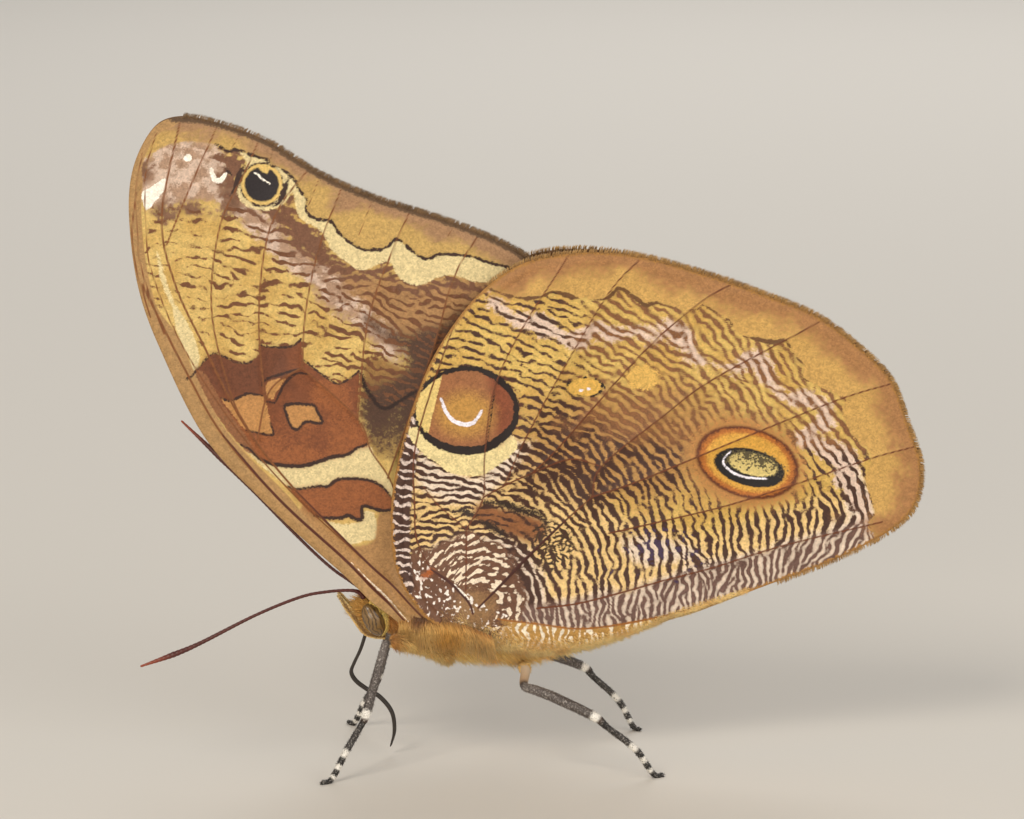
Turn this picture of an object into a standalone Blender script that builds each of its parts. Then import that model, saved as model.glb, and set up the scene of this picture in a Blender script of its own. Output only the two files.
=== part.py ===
"""A butterfly at rest on its four walking legs, wings closed upright over its back.

Lengths below are millimetres in a frame whose origin is the forewing hinge: x grows towards the
tail, y towards the right side, z upwards. The last step sets the whole animal on z = 0, with its
box centred on the origin, and turns it to metres.
"""

import math

import bmesh
import bpy
import numpy as np
from mathutils import Vector
from mathutils.geometry import delaunay_2d_cdt

MM = 0.001
HINGE_HEIGHT = 11.6
HINGE_FORWARD = 8.9
GAP = 0.3

# Wings: one sheet each, with the veins raised in its outer face
MEMBRANE = 0.5
VEIN_HEIGHT = 0.2
VEIN_HALF_WIDTH = 0.34
TIP_SHARE = 0.55
MID_GAP = 0.15
HINDWING_STEP = MEMBRANE + VEIN_HEIGHT + GAP
OVERLAP_MARGIN = 0.4
OVERLAP_FADE = 6.0
OUTLINE_STEP = 1.7
VEIN_STEP = 2.4
COARSE_GRID = 3.6
FINE_GRID = 1.7
FINE_FROM = 0.5

FOREWING_OUTLINE = (
    (0.4, -1.1), (-1.2, -0.5), (-6.6, 4.1), (-11.6, 8.9), (-16.0, 13.9), (-19.3, 20.8), (-20.9, 25.6),
    (-21.5, 30.8), (-21.2, 34.6), (-19.8, 37.6), (-18.0, 38.7), (-15.2, 38.4), (-11.0, 36.9),
    (-7.0, 34.4), (-2.7, 32.5), (2.9, 30.7), (7.6, 28.7), (10.6, 26.4), (11.0, 24.2), (9.4, 19.0),
    (6.4, 11.4), (3.6, 4.6), (2.6, 1.4), (1.8, -0.8),
)
FOREWING_VEINS = (
    ((-0.2, -0.5), (-4.9, 3.9), (-10.2, 8.9), (-14.6, 14.1), (-17.5, 19.4), (-20.6, 25.9)),
    ((0.8, 0.2), (-3.7, 4.2), (-9.0, 9.7), (-12.9, 14.9), (-15.9, 21.0), (-18.1, 26.0), (-19.0, 31.2),
     (-17.4, 38.9)),
    ((-18.7, 28.9), (-16.9, 33.2), (-14.5, 38.5)),
    ((-12.6, 14.5), (-13.9, 17.3), (-15.3, 23.8), (-14.6, 30.3), (-12.6, 34.6), (-11.4, 37.3)),
    ((-11.3, 16.7), (-11.7, 22.9), (-11.2, 28.5), (-10.0, 31.9), (-7.6, 35.0)),
    ((-11.9, 13.8), (-11.3, 16.7), (-10.4, 18.2), (-8.4, 19.4)),
    ((-8.4, 19.4), (-8.1, 23.8), (-7.0, 28.8), (-5.1, 33.8)),
    ((-8.4, 19.4), (-4.2, 15.4), (-3.2, 12.9), (-1.6, 10.3), (-0.6, 6.4), (0.9, 1.2)),
    ((-4.2, 15.4), (-3.3, 23.2), (-1.3, 28.8), (0.1, 31.9)),
    ((-1.9, 10.7), (1.5, 20.4), (3.3, 26.5), (5.4, 30.1)),
    ((1.3, 0.6), (3.4, 7.4), (6.9, 16.8), (9.4, 27.8)),
)
HINDWING_OUTLINE = (
    (1.4, 0.2), (0.2, 1.3), (-0.8, 2.6), (-1.5, 4.8), (-1.6, 8.9), (-0.9, 13.0), (0.2, 16.8),
    (1.9, 20.8), (4.9, 25.0), (8.4, 27.6), (12.4, 28.4), (17.0, 28.1), (22.0, 26.8), (27.2, 25.0),
    (31.2, 23.3), (34.4, 20.9), (36.9, 18.3), (38.3, 14.7), (39.3, 11.6), (38.9, 8.5), (36.9, 6.4),
    (32.6, 4.1), (27.2, 2.0), (22.4, 0.2), (18.1, -1.2), (14.9, -2.3), (12.0, -2.9), (9.0, -2.9),
    (6.4, -2.0), (3.8, -0.6),
)
HINDWING_VEINS = (
    ((4.6, 0.2), (3.3, 2.7), (1.7, 3.8), (0.6, 5.4), (0.3, 8.8), (0.2, 12.9), (1.5, 17.8), (3.6, 23.8)),
    ((4.3, 1.0), (4.2, 6.9)),
    ((4.2, 6.9), (2.0, 8.8), (0.9, 10.2)),
    ((4.2, 6.9), (5.5, 9.4), (5.6, 12.6), (6.3, 17.7), (8.3, 22.3), (12.3, 28.7)),
    ((5.5, 9.4), (7.1, 10.3), (9.2, 11.2), (12.2, 12.2), (14.6, 11.6)),
    ((7.1, 10.3), (8.6, 13.7), (10.9, 18.1), (15.0, 25.1), (18.0, 28.3)),
    ((9.2, 11.2), (11.4, 13.3), (17.9, 20.7), (22.3, 24.6), (25.2, 26.2)),
    ((5.2, 0.6), (9.2, 4.6), (13.9, 9.2)),
    ((13.9, 9.2), (14.6, 11.6), (19.0, 15.3), (22.9, 18.3), (30.1, 22.3), (32.0, 23.4)),
    ((13.9, 9.2), (17.6, 10.5), (26.1, 14.1), (33.2, 17.0), (37.6, 18.3)),
    ((12.2, 7.5), (15.1, 6.6), (21.5, 7.7), (29.8, 10.3), (35.6, 12.3), (39.4, 13.3)),
    ((6.2, 0.4), (13.8, 1.2), (22.4, 3.3), (28.7, 5.3), (36.4, 7.2)),
)

# Trunk stations: x, height of the axis, half height, half width
TRUNK = (
    (-8.5, 0.2, 1.6, 0.0), (-5.5, 0.2, 1.8, 0.7), (-3.4, -0.1, 1.9, 1.9), (-1.7, -0.5, 1.6, 1.6),
    (0.2, -0.4, 2.2, 2.1), (3.4, -0.4, 3.2, 2.8), (6.4, -0.7, 3.2, 2.7), (8.7, -1.2, 2.7, 2.3),
    (12.0, -1.0, 2.1, 2.0), (15.2, -0.6, 1.7, 1.6), (18.2, 0.0, 1.2, 1.2), (20.2, 0.3, 0.6, 0.6),
    (23.0, 0.4, 1.2, 0.2), (26.0, 0.5, 1.2, 0.0),
)
THORAX_FRONT = -1.7
WAIST = 8.6
ABDOMEN_END = 20.2
TRUNK_SIDES = 22

HEAD_CENTRE = Vector((-3.05, 0.0, -0.1))
HEAD_RADII = Vector((1.05, 1.35, 1.3))
EYE_CENTRE = Vector((-3.05, 1.3, -0.4))
EYE_RADII = Vector((0.78, 0.68, 1.36))
EYE_TILT = math.radians(-26)

PALP = ((-2.9, 0.5, -1.85), (-3.75, 0.62, -1.45), (-4.65, 0.62, -0.2), (-5.25, 0.55, 0.6), (-5.75, 0.45, 1.3))
PALP_RADII = (0.28, 0.36, 0.4, 0.34, 0.12)
PROBOSCIS = (
    (-3.65, 0.0, -2.1), (-4.1, 0.0, -3.1), (-4.6, 0.0, -4.2), (-4.85, 0.0, -4.95), (-4.5, 0.0, -5.65),
    (-3.7, 0.0, -6.3), (-2.6, 0.0, -7.0), (-1.7, 0.0, -8.2), (-1.5, 0.0, -9.7), (-1.8, 0.0, -11.0),
)
PROBOSCIS_RADIUS = 0.25
ANTENNA_RADIUS = 0.25
CLUB_RADIUS = 0.34
ANTENNA_LEFT = (
    (-3.9, -0.75, 1.75), (-4.8, -0.95, 2.0), (-6.6, -1.35, 1.85), (-8.7, -1.9, 1.55), (-12.1, -2.8, 0.35),
    (-16.3, -3.8, -1.6), (-18.4, -4.3, -2.4), (-20.9, -4.8, -3.2),
)
ANTENNA_RIGHT = (
    (-3.9, 0.75, 1.75), (-5.0, 1.2, 2.1), (-6.6, 1.9, 3.1), (-9.0, 2.7, 5.2), (-12.4, 3.6, 8.6),
    (-15.2, 4.2, 11.3), (-18.2, 4.8, 14.1),
)

# Legs: hip, knee, ankle and toe, with the shank's radii
MIDLEG = ((2.7, 1.2, -3.85), (2.2, 2.6, -3.1), (0.2, 3.05, -2.05), (-1.85, 3.15, -1.7), (-2.3, 3.7, -2.6),
          (-3.5, 5.7, -6.7), (-3.8, 6.0, -7.4), (-5.0, 7.0, -9.3), (-6.1, 7.8, -11.3), (-6.9, 8.4, -11.4))
HINDLEG = ((8.6, 1.25, -4.35), (8.75, 3.0, -4.1), (8.65, 4.9, -4.7), (9.5, 5.8, -4.8), (11.0, 6.35, -5.25),
           (14.0, 7.2, -6.5), (15.0, 7.2, -7.35), (17.2, 6.9, -9.2), (18.6, 6.5, -11.3), (19.4, 6.2, -11.4))
LEG_RADII = (0.42, 0.5, 0.46, 0.36, 0.42, 0.4, 0.3, 0.28, 0.28, 0.25)
FORELEG = ((1.1, 0.85, -3.3), (0.2, 0.95, -2.95), (-0.7, 0.95, -2.7), (-1.6, 0.9, -2.55))
FORELEG_RADII = (0.3, 0.4, 0.36, 0.2)
RIGHT_FOOT_SHIFT = 1.4
LEG_SIDES = 8
FLOOR = -HINGE_HEIGHT

COLOURS = {
    "forewing": ((0.55, 0.32, 0.08), 0.7), "hindwing": ((0.5, 0.28, 0.08), 0.7),
    "thorax": ((0.5, 0.26, 0.05), 0.9), "abdomen": ((0.48, 0.28, 0.09), 0.9),
    "head": ((0.33, 0.18, 0.06), 0.85), "eye": ((0.12, 0.07, 0.03), 0.2),
    "palp": ((0.5, 0.3, 0.09), 0.85), "proboscis": ((0.03, 0.02, 0.02), 0.4),
    "antenna": ((0.05, 0.01, 0.01), 0.5), "foreleg": ((0.4, 0.24, 0.08), 0.8),
    "midleg": ((0.1, 0.09, 0.09), 0.6), "hindleg": ((0.1, 0.09, 0.09), 0.6),
}


def clear_scene():
    """Empties the scene."""
    for thing in list(bpy.data.objects):
        bpy.data.objects.remove(thing, do_unlink=True)


def coat(name):
    """One Principled material for a node, in the colour of its kind."""
    colour, roughness = COLOURS[name.split("_")[0]]
    material = bpy.data.materials.new(name + "_scales")
    material.use_nodes = True
    shader = material.node_tree.nodes["Principled BSDF"]
    shader.inputs["Base Color"].default_value = (*colour, 1.0)
    shader.inputs["Roughness"].default_value = roughness
    shader.inputs["Metallic"].default_value = 0.0
    return material


def add_node(name, points, faces):
    """A named object from points in the hinge's frame, set on the floor and turned to metres."""
    placed = [((x - HINGE_FORWARD) * MM, y * MM, (z + HINGE_HEIGHT) * MM) for x, y, z in points]
    mesh = bpy.data.meshes.new(name)
    mesh.from_pydata(placed, [], faces)
    work = bmesh.new()
    work.from_mesh(mesh)
    bmesh.ops.recalc_face_normals(work, faces=work.faces)
    bmesh.ops.triangulate(work, faces=work.faces)
    work.to_mesh(mesh)
    work.free()
    mesh.shade_smooth()
    mesh.set_sharp_from_angle(angle=math.radians(50))
    mesh.materials.append(coat(name))
    thing = bpy.data.objects.new(name, mesh)
    bpy.context.scene.collection.objects.link(thing)
    return thing


def curve_through(points, step):
    """Points about one step apart on a Catmull-Rom curve through the given ones."""
    given = np.array(points, float)
    padded = np.vstack([2 * given[0] - given[1], given, 2 * given[-1] - given[-2]])
    out = []
    for before, start, end, after in zip(padded, padded[1:], padded[2:], padded[3:]):
        count = max(1, round(float(np.linalg.norm(end - start)) / step))
        t = (np.arange(count) / count)[:, None]
        out.append(0.5 * (2 * start + (end - before) * t
                          + (2 * before - 5 * start + 4 * end - after) * t**2
                          + (3 * start - before - 3 * end + after) * t**3))
    return np.vstack([*out, given[-1:]])


def loop_through(points, step):
    """The same curve closed on itself."""
    ring = list(points)
    whole = curve_through(ring[-2:] + ring + ring[:2], step)
    first = int(np.argmin(np.linalg.norm(whole - np.array(ring[0], float), axis=1)))
    tail = whole[first + 1:]
    last = first + 1 + int(np.argmin(np.linalg.norm(tail - np.array(ring[0], float), axis=1)))
    return whole[first:last]


def distance_along(spots, line):
    """For each spot, its distance to a broken line and the share of the line's length there."""
    start, run = line[:-1], np.diff(line, axis=0)
    length = np.linalg.norm(run, axis=1)
    travelled = np.concatenate([[0.0], np.cumsum(length)])
    offset = spots[:, None, :] - start[None]
    t = np.clip((offset * run).sum(-1) / (length**2), 0.0, 1.0)
    gap = np.linalg.norm(offset - t[..., None] * run, axis=-1)
    nearest = gap.argmin(1)
    row = np.arange(len(spots))
    share = (travelled[nearest] + t[row, nearest] * length[nearest]) / travelled[-1]
    return gap[row, nearest], share


def inside(spots, ring):
    """Which spots lie inside a closed ring, by counting crossings to the right."""
    x, z = spots[:, 0, None], spots[:, 1, None]
    ax, az = ring[:, 0], ring[:, 1]
    bx, bz = np.roll(ax, -1), np.roll(az, -1)
    spans = (az > z) != (bz > z)
    rise = np.where(bz == az, 1.0, bz - az)
    return (spans & (x < ax + (z - az) / rise * (bx - ax))).sum(1) % 2 == 1


def trunk_at(x):
    """Axis height, half height and half width of the trunk at each x, on smooth curves."""
    stations = curve_through(TRUNK, 0.25)
    return [np.interp(x, stations[:, 0], stations[:, column]) for column in (1, 2, 3)]


def clearance(spots):
    """Distance from the middle plane to the innermost wing: it swells over the trunk and closes above."""
    axis, half_height, half_width = trunk_at(spots[:, 0])
    reach = (spots[:, 1] - axis) / half_height
    swell = (half_width + MID_GAP) * np.exp(-0.5 * reach**2)
    return MID_GAP + np.maximum(swell, 0.0)


def vein_lift(spots, veins):
    """Height of the veins over the membrane: a ridge that falls to nothing at the vein's half width."""
    lift = np.zeros(len(spots))
    for vein in veins:
        gap, share = distance_along(spots, vein)
        size = 1.0 - (1.0 - TIP_SHARE) * share
        lift = np.maximum(lift, size * VEIN_HEIGHT * np.clip(1.0 - gap / (size * VEIN_HALF_WIDTH), 0, 1))
    return lift


def flank(vein, side):
    """The foot of a vein's ridge on one side."""
    run = np.gradient(vein, axis=0)
    normal = np.stack([-run[:, 1], run[:, 0]], 1) / np.linalg.norm(run, axis=1)[:, None]
    size = 1.0 - (1.0 - TIP_SHARE) * np.linspace(0, 1, len(vein))
    return vein + side * normal * (size * VEIN_HALF_WIDTH)[:, None]


def sheet(ring, veins, swell):
    """Flat triangles over a wing's outline whose edges follow the veins and the feet of their ridges."""
    points = [tuple(p) for p in ring]
    count = len(points)
    edges = []
    for number, vein in enumerate(veins):
        first = len(points)
        points += [tuple(p) for p in vein]
        edges += [(first + i, first + i + 1) for i in range(len(vein) - 1)]
        others = [other for k, other in enumerate(veins) if k != number]
        for side in (-1, 1):
            foot = flank(vein, side)
            free = inside(foot, ring) & (distance_along(foot, np.vstack([ring, ring[:1]]))[0] > 0.4)
            for other in others:
                free &= distance_along(foot, other)[0] > 2.2 * VEIN_HALF_WIDTH
            last = None
            for i in np.flatnonzero(free):
                points.append(tuple(foot[i]))
                if last == i - 1:
                    edges.append((len(points) - 2, len(points) - 1))
                last = i
    low, high = ring.min(0), ring.max(0)
    fixed = np.array(points)
    for step, fine in ((COARSE_GRID, False), (FINE_GRID, True)):
        x, z = np.meshgrid(np.arange(low[0], high[0], step), np.arange(low[1], high[1], step * 0.87))
        x = x + 0.5 * step * (np.arange(len(x)) % 2)[:, None]
        grid = np.stack([x.ravel(), z.ravel()], 1)
        grid = grid[inside(grid, ring)]
        grid = grid[(swell(grid) > FINE_FROM) == fine]
        near = np.linalg.norm(grid[:, None] - fixed[None], axis=-1).min(1)
        points += [tuple(p) for p in grid[near > 0.55 * step]]
    out = delaunay_2d_cdt([Vector(p) for p in points], edges, [list(range(count))], 1, 0.02)
    spots = np.array([tuple(p) for p in out[0]])
    used = sorted({i for face in out[2] for i in face})
    index = {old: new for new, old in enumerate(used)}
    return spots[used], [tuple(index[i] for i in face) for face in out[2]]


def wing(name, outline, veins, inner):
    """A pair of thin closed sheets, left and right, from one flat pattern and its inner offset."""
    ring = loop_through(outline, OUTLINE_STEP)
    lines = [curve_through(vein, VEIN_STEP) for vein in veins]
    spots, faces = sheet(ring, lines, clearance)
    near = inner(spots)
    far = near + MEMBRANE + vein_lift(spots, lines)
    count = len(spots)
    owners = {}
    for a, b, c in faces:
        for pair in ((a, b), (b, c), (c, a)):
            owners.setdefault(frozenset(pair), []).append(pair)
    rim = [pairs[0] for pairs in owners.values() if len(pairs) == 1]
    walls = [f for a, b in rim for f in ((a, b, b + count), (a, b + count, a + count))]
    backs = [(a + count, b + count, c + count) for a, b, c in faces]
    for side, label in ((-1, "left"), (1, "right")):
        points = [(x, side * y, z) for (x, z), y in zip(spots, near)]
        points += [(x, side * y, z) for (x, z), y in zip(spots, far)]
        add_node(name + "_" + label, points, [*faces, *backs, *walls])


def hindwing_offset(spots):
    """The hind pair rides outside the fore pair and closes to the middle plane behind it."""
    ring = loop_through(FOREWING_OUTLINE, OUTLINE_STEP)
    gap = distance_along(spots, np.vstack([ring, ring[:1]]))[0]
    gap = np.where(inside(spots, ring), 0.0, gap)
    t = np.clip((gap - OVERLAP_MARGIN) / OVERLAP_FADE, 0.0, 1.0)
    return clearance(spots) + HINDWING_STEP * (1.0 - t * t * (3.0 - 2.0 * t))


def sweep(name, path, radii, sides, step=0.0, floor=False, flat=1.0):
    """A round bar along a path, thick as the radii say, with closed ends; its soles are level with the floor."""
    line = np.array(path, float)
    size = np.array(radii, float)
    if step:
        along = np.linspace(0, 1, len(line))
        line = curve_through(path, step)
        size = np.interp(distance_along(line, line)[1], along, size)
    heading = np.gradient(line, axis=0)
    heading /= np.linalg.norm(heading, axis=1)[:, None]
    across = np.cross(heading, (0.0, 1.0, 0.0))
    across /= np.linalg.norm(across, axis=1)[:, None]
    other = np.cross(heading, across)
    turn = np.linspace(0, 2 * math.pi, sides, endpoint=False)
    rings = (line[:, None] + size[:, None, None] * (np.cos(turn)[None, :, None] * across[:, None]
             + flat * np.sin(turn)[None, :, None] * other[:, None]))
    if floor:
        rings[..., 2] = np.maximum(rings[..., 2], FLOOR)
    return add_node(name, rings.reshape(-1, 3), tube_faces(len(line), sides))


def tube_faces(rings, sides):
    """Faces between successive rings of points, and one over each end."""
    faces = []
    for ring in range(rings - 1):
        for k in range(sides):
            a, b = ring * sides + k, ring * sides + (k + 1) % sides
            faces.append((a, b, b + sides, a + sides))
    faces.append(tuple(range(sides)))
    faces.append(tuple((rings - 1) * sides + k for k in range(sides)))
    return faces


def trunk(name, start, end, rings):
    """A length of the trunk, cut square at both ends."""
    x = start + (end - start) * 0.5 * (1 - np.cos(np.linspace(0, math.pi, rings)))
    axis, half_height, half_width = trunk_at(x)
    turn = np.linspace(0, 2 * math.pi, TRUNK_SIDES, endpoint=False)
    points = np.stack([
        np.repeat(x[:, None], TRUNK_SIDES, 1),
        half_width[:, None] * np.sin(turn),
        axis[:, None] + half_height[:, None] * np.cos(turn),
    ], -1)
    return add_node(name, points.reshape(-1, 3), tube_faces(rings, TRUNK_SIDES))


def ball(name, centre, radii, tilt=0.0, segments=20, rings=12):
    """An ellipsoid, tilted about the cross axis, with round poles."""
    points = [(0.0, 0.0, 1.0)]
    for ring in range(1, rings):
        polar = math.pi * ring / rings
        for k in range(segments):
            turn = 2 * math.pi * k / segments
            points.append((math.sin(polar) * math.cos(turn), math.sin(polar) * math.sin(turn), math.cos(polar)))
    points.append((0.0, 0.0, -1.0))
    last = len(points) - 1
    faces = [(0, 1 + k, 1 + (k + 1) % segments) for k in range(segments)]
    for ring in range(rings - 2):
        base = 1 + ring * segments
        for k in range(segments):
            follow = (k + 1) % segments
            faces.append((base + k, base + follow, base + segments + follow, base + segments + k))
    base = last - segments
    faces += [(last, base + (k + 1) % segments, base + k) for k in range(segments)]
    shaped = []
    for x, y, z in points:
        x, y, z = x * radii[0], y * radii[1], z * radii[2]
        shaped.append((centre[0] + x * math.cos(tilt) + z * math.sin(tilt), centre[1] + y,
                       centre[2] - x * math.sin(tilt) + z * math.cos(tilt)))
    return add_node(name, shaped, faces)


def head_and_eyes():
    """The head capsule with a socket round each eye, and the two eyes standing in them."""
    head = ball("head", HEAD_CENTRE, HEAD_RADII, segments=24, rings=16)
    for side, label in ((-1, "left"), (1, "right")):
        centre = Vector((EYE_CENTRE.x, side * EYE_CENTRE.y, EYE_CENTRE.z))
        socket = ball("head_socket_" + label, centre, EYE_RADII + Vector((GAP, GAP, GAP)), EYE_TILT)
        cut = head.modifiers.new("socket", "BOOLEAN")
        cut.operation = "DIFFERENCE"
        cut.object = socket
        bpy.context.view_layer.objects.active = head
        bpy.ops.object.modifier_apply(modifier=cut.name)
        bpy.data.objects.remove(socket, do_unlink=True)
        ball("eye_" + label, centre, EYE_RADII, EYE_TILT)


def mouthparts():
    """Two palps that curve up before the face, and the tongue reaching down between the legs."""
    for side, label in ((-1, "left"), (1, "right")):
        sweep("palp_" + label, [(x, side * y, z) for x, y, z in PALP], PALP_RADII, 10, 0.5, flat=0.8)
    sweep("proboscis", PROBOSCIS, [PROBOSCIS_RADIUS] * 9 + [0.15], 6, 0.7)


def antennae():
    """Two slender feelers that thicken into a long club before the tip."""
    for path, label in ((ANTENNA_LEFT, "left"), (ANTENNA_RIGHT, "right")):
        radii = [ANTENNA_RADIUS] * (len(path) - 3) + [0.28, CLUB_RADIUS, 0.12]
        sweep("antenna_" + label, path, radii, 7, 0.9)


def legs():
    """Four walking legs on flat soles at one level, and the two small forelegs folded on the chest."""
    for side, label in ((-1, "left"), (1, "right")):
        for name, path in (("midleg", MIDLEG), ("hindleg", HINDLEG)):
            inward = -1.0 if name == "hindleg" else 1.0
            share = [max(0.0, min(1.0, (k - 2) / 7)) if side == 1 else 0.0 for k in range(len(path))]
            placed = [(x + inward * RIGHT_FOOT_SHIFT * s, side * y, z) for (x, y, z), s in zip(path, share)]
            sweep(name + "_" + label, placed, LEG_RADII, LEG_SIDES, 0.9, floor=True)
        sweep("foreleg_" + label, [(x, side * y, z) for x, y, z in FORELEG], FORELEG_RADII, LEG_SIDES, 0.7)


clear_scene()
wing("forewing", FOREWING_OUTLINE, FOREWING_VEINS, clearance)
wing("hindwing", HINDWING_OUTLINE, HINDWING_VEINS, hindwing_offset)
trunk("thorax", THORAX_FRONT, WAIST, 11)
trunk("abdomen", WAIST + GAP, ABDOMEN_END, 11)
head_and_eyes()
mouthparts()
antennae()
legs()
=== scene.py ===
"""A butterfly at rest, wings closed upright, as a life-size museum model. Lengths in the sections are
millimetres from the forewing's hinge: x towards the tail, y to the animal's right, z up."""

import bmesh
import bpy
import numpy as np
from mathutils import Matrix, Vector


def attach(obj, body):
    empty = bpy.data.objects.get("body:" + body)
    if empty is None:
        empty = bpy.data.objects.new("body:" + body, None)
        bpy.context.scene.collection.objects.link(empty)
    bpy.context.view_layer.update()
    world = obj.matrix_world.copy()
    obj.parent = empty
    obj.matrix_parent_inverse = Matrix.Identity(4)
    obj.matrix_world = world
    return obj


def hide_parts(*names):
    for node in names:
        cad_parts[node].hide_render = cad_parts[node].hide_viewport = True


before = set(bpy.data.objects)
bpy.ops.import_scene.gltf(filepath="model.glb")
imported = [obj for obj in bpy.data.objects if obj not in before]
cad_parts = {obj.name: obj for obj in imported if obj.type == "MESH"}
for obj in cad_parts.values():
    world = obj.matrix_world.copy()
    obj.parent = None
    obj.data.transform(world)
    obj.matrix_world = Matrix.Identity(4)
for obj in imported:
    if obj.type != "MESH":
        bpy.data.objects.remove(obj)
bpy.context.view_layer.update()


# Forewings: two thin plates of membrane, stiffened by hollow veins and tiled on both faces with flat
# coloured scales. The underside shown at rest is gold with brown ripples, a chestnut patch and an eyespot.

def curve_through(points, step):
    """Catmull-Rom: each span is the cubic whose slope at a point is half the chord between its neighbours."""
    given = np.array(points, float)
    padded = np.vstack([2 * given[0] - given[1], given, 2 * given[-1] - given[-2]])
    out = []
    for before, start, end, after in zip(padded, padded[1:], padded[2:], padded[3:]):
        count = max(1, round(float(np.linalg.norm(end - start)) / step))
        t = (np.arange(count) / count)[:, None]
        out.append(0.5 * (2 * start + (end - before) * t
                          + (2 * before - 5 * start + 4 * end - after) * t**2
                          + (3 * start - before - 3 * end + after) * t**3))
    return np.vstack([*out, given[-1:]])


def loop_through(points, step):
    """The same curve through points that close on themselves."""
    ring = list(points)
    whole = curve_through(ring[-2:] + ring + ring[:2], step)
    first = int(np.argmin(np.linalg.norm(whole - np.array(ring[0], float), axis=1)))
    tail = whole[first + 1:]
    last = first + 1 + int(np.argmin(np.linalg.norm(tail - np.array(ring[0], float), axis=1)))
    return whole[first:last]


def distance_to(spots, line, reach=3.0):
    """Distance from each spot to a broken line and the share of its length there; spots beyond reach of
    the line's box are given the reach itself."""
    gap, share = np.full(len(spots), reach), np.zeros(len(spots))
    low, high = line.min(0) - reach, line.max(0) + reach
    near = np.flatnonzero(((spots > low) & (spots < high)).all(1))
    close, found = gap[near], share[near]
    run = np.diff(line, axis=0)
    length = np.linalg.norm(run, axis=1)
    travelled = np.concatenate([[0.0], np.cumsum(length)])
    for start, step, size, before in zip(line, run, length, travelled):
        offset = spots[near] - start
        t = np.clip(offset @ step / size**2, 0.0, 1.0)
        away = np.hypot(*(offset - t[:, None] * step).T)
        better = away < close
        close = np.where(better, away, close)
        found = np.where(better, (before + t * size) / travelled[-1], found)
    gap[near], share[near] = close, found
    return gap, share


def inside(spots, ring):
    """Which spots lie inside a closed ring, by counting crossings to the right."""
    result = np.zeros(len(spots), bool)
    for (ax, az), (bx, bz) in zip(ring, np.roll(ring, -1, axis=0)):
        if az != bz:
            spans = (az > spots[:, 1]) != (bz > spots[:, 1])
            result ^= spans & (spots[:, 0] < ax + (spots[:, 1] - az) / (bz - az) * (bx - ax))
    return result


def area(spots, points, step=0.5):
    """Distance in from the edge of a closed shape, in millimetres, below nothing outside it."""
    ring = loop_through(points, step)
    gap = distance_to(spots, np.vstack([ring, ring[:1]]))[0]
    return np.where(inside(spots, ring), gap, -gap)


def stroke(spots, points, width, step=0.4, ends=1.0):
    """Distance in from the side of a line of the given width; it narrows to the share ends at both tips."""
    gap, share = distance_to(spots, curve_through(points, step), 2.0 + width)
    size = ends + (1.0 - ends) * np.sin(np.pi * np.clip(share, 0, 1))
    return 0.5 * width * size - gap


def strokes(spots, lines):
    """The broadest cover of several lines, each given as its points, width, step and ends."""
    return np.maximum.reduce([stroke(spots, *line) for line in lines])


def oval(spots, centre, radii, tilt=0.0):
    """About the distance in from an ellipse's edge: (1 - r) times the smaller radius, r being 1 there."""
    turn = np.radians(tilt)
    x, z = (spots - centre).T
    u, v = x * np.cos(turn) + z * np.sin(turn), z * np.cos(turn) - x * np.sin(turn)
    return (1.0 - np.hypot(u / radii[0], v / radii[1])) * min(radii)


def fade(value, width):
    """Smooth step from 0 to 1 while value goes from 0 to width."""
    t = np.clip(value / width, 0.0, 1.0)
    return t * t * (3.0 - 2.0 * t)


def ripples(box, samples, period, seed, veins, wander=0.25, rounds=4):
    """Wavy stripes on a lattice: noise is passed again and again through stripe filters, each one taking its
    share where the stripes run its way, and flattened by tanh, until it settles to bars of that period."""
    step = period / 5.0
    x = np.arange(box[0], box[2], step)
    z = np.arange(box[1], box[3], step)
    grid = np.stack(np.meshgrid(x, z), -1).reshape(-1, 2)
    weight = 1.0 / (((grid[:, None] - samples[None, :, :2])**2).sum(-1) + 0.6)**1.5
    double = np.radians(2 * samples[:, 2])
    draw = np.random.default_rng(seed)
    fx, fz = np.meshgrid(np.fft.fftfreq(len(x), step), np.fft.fftfreq(len(z), step))
    slow = np.exp(-0.5 * (np.hypot(fx, fz) * period * 3.0)**2)
    drift = np.real(np.fft.ifft2(np.fft.fft2(draw.standard_normal(fx.shape)) * slow))
    angle = 0.5 * np.arctan2(weight @ np.sin(double), weight @ np.cos(double)).reshape(fx.shape)
    angle = angle + wander * drift / drift.std()
    gap = np.full(len(grid), 9.0)
    for vein in veins:
        gap = np.minimum(gap, distance_to(grid, curve_through(vein, 1.0), 1.0)[0])
    calm = (0.45 + 0.55 * fade(gap, 0.35 * period)).reshape(fx.shape)
    turns = np.linspace(0, np.pi, 12, endpoint=False)
    bank, share = [], []
    for turn in turns:
        across = np.abs(fz * np.cos(turn) - fx * np.sin(turn)) * period
        along = (fx * np.cos(turn) + fz * np.sin(turn)) * period
        bank.append(np.exp(-0.5 * ((across - 1.0) / 0.3)**2 - 0.5 * (along / 0.36)**2))
        share.append(np.exp(7.0 * (np.cos(2 * (angle - turn)) - 1.0)))
    total = sum(share)
    field = draw.standard_normal(fx.shape)
    for _ in range(rounds):
        wave = np.fft.fft2(field * calm)
        pull = sum(s * np.real(np.fft.ifft2(wave * b)) for s, b in zip(share, bank)) / total
        field = np.tanh(2.2 * pull / pull.std())
    return x, z, pull / pull.std()


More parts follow.
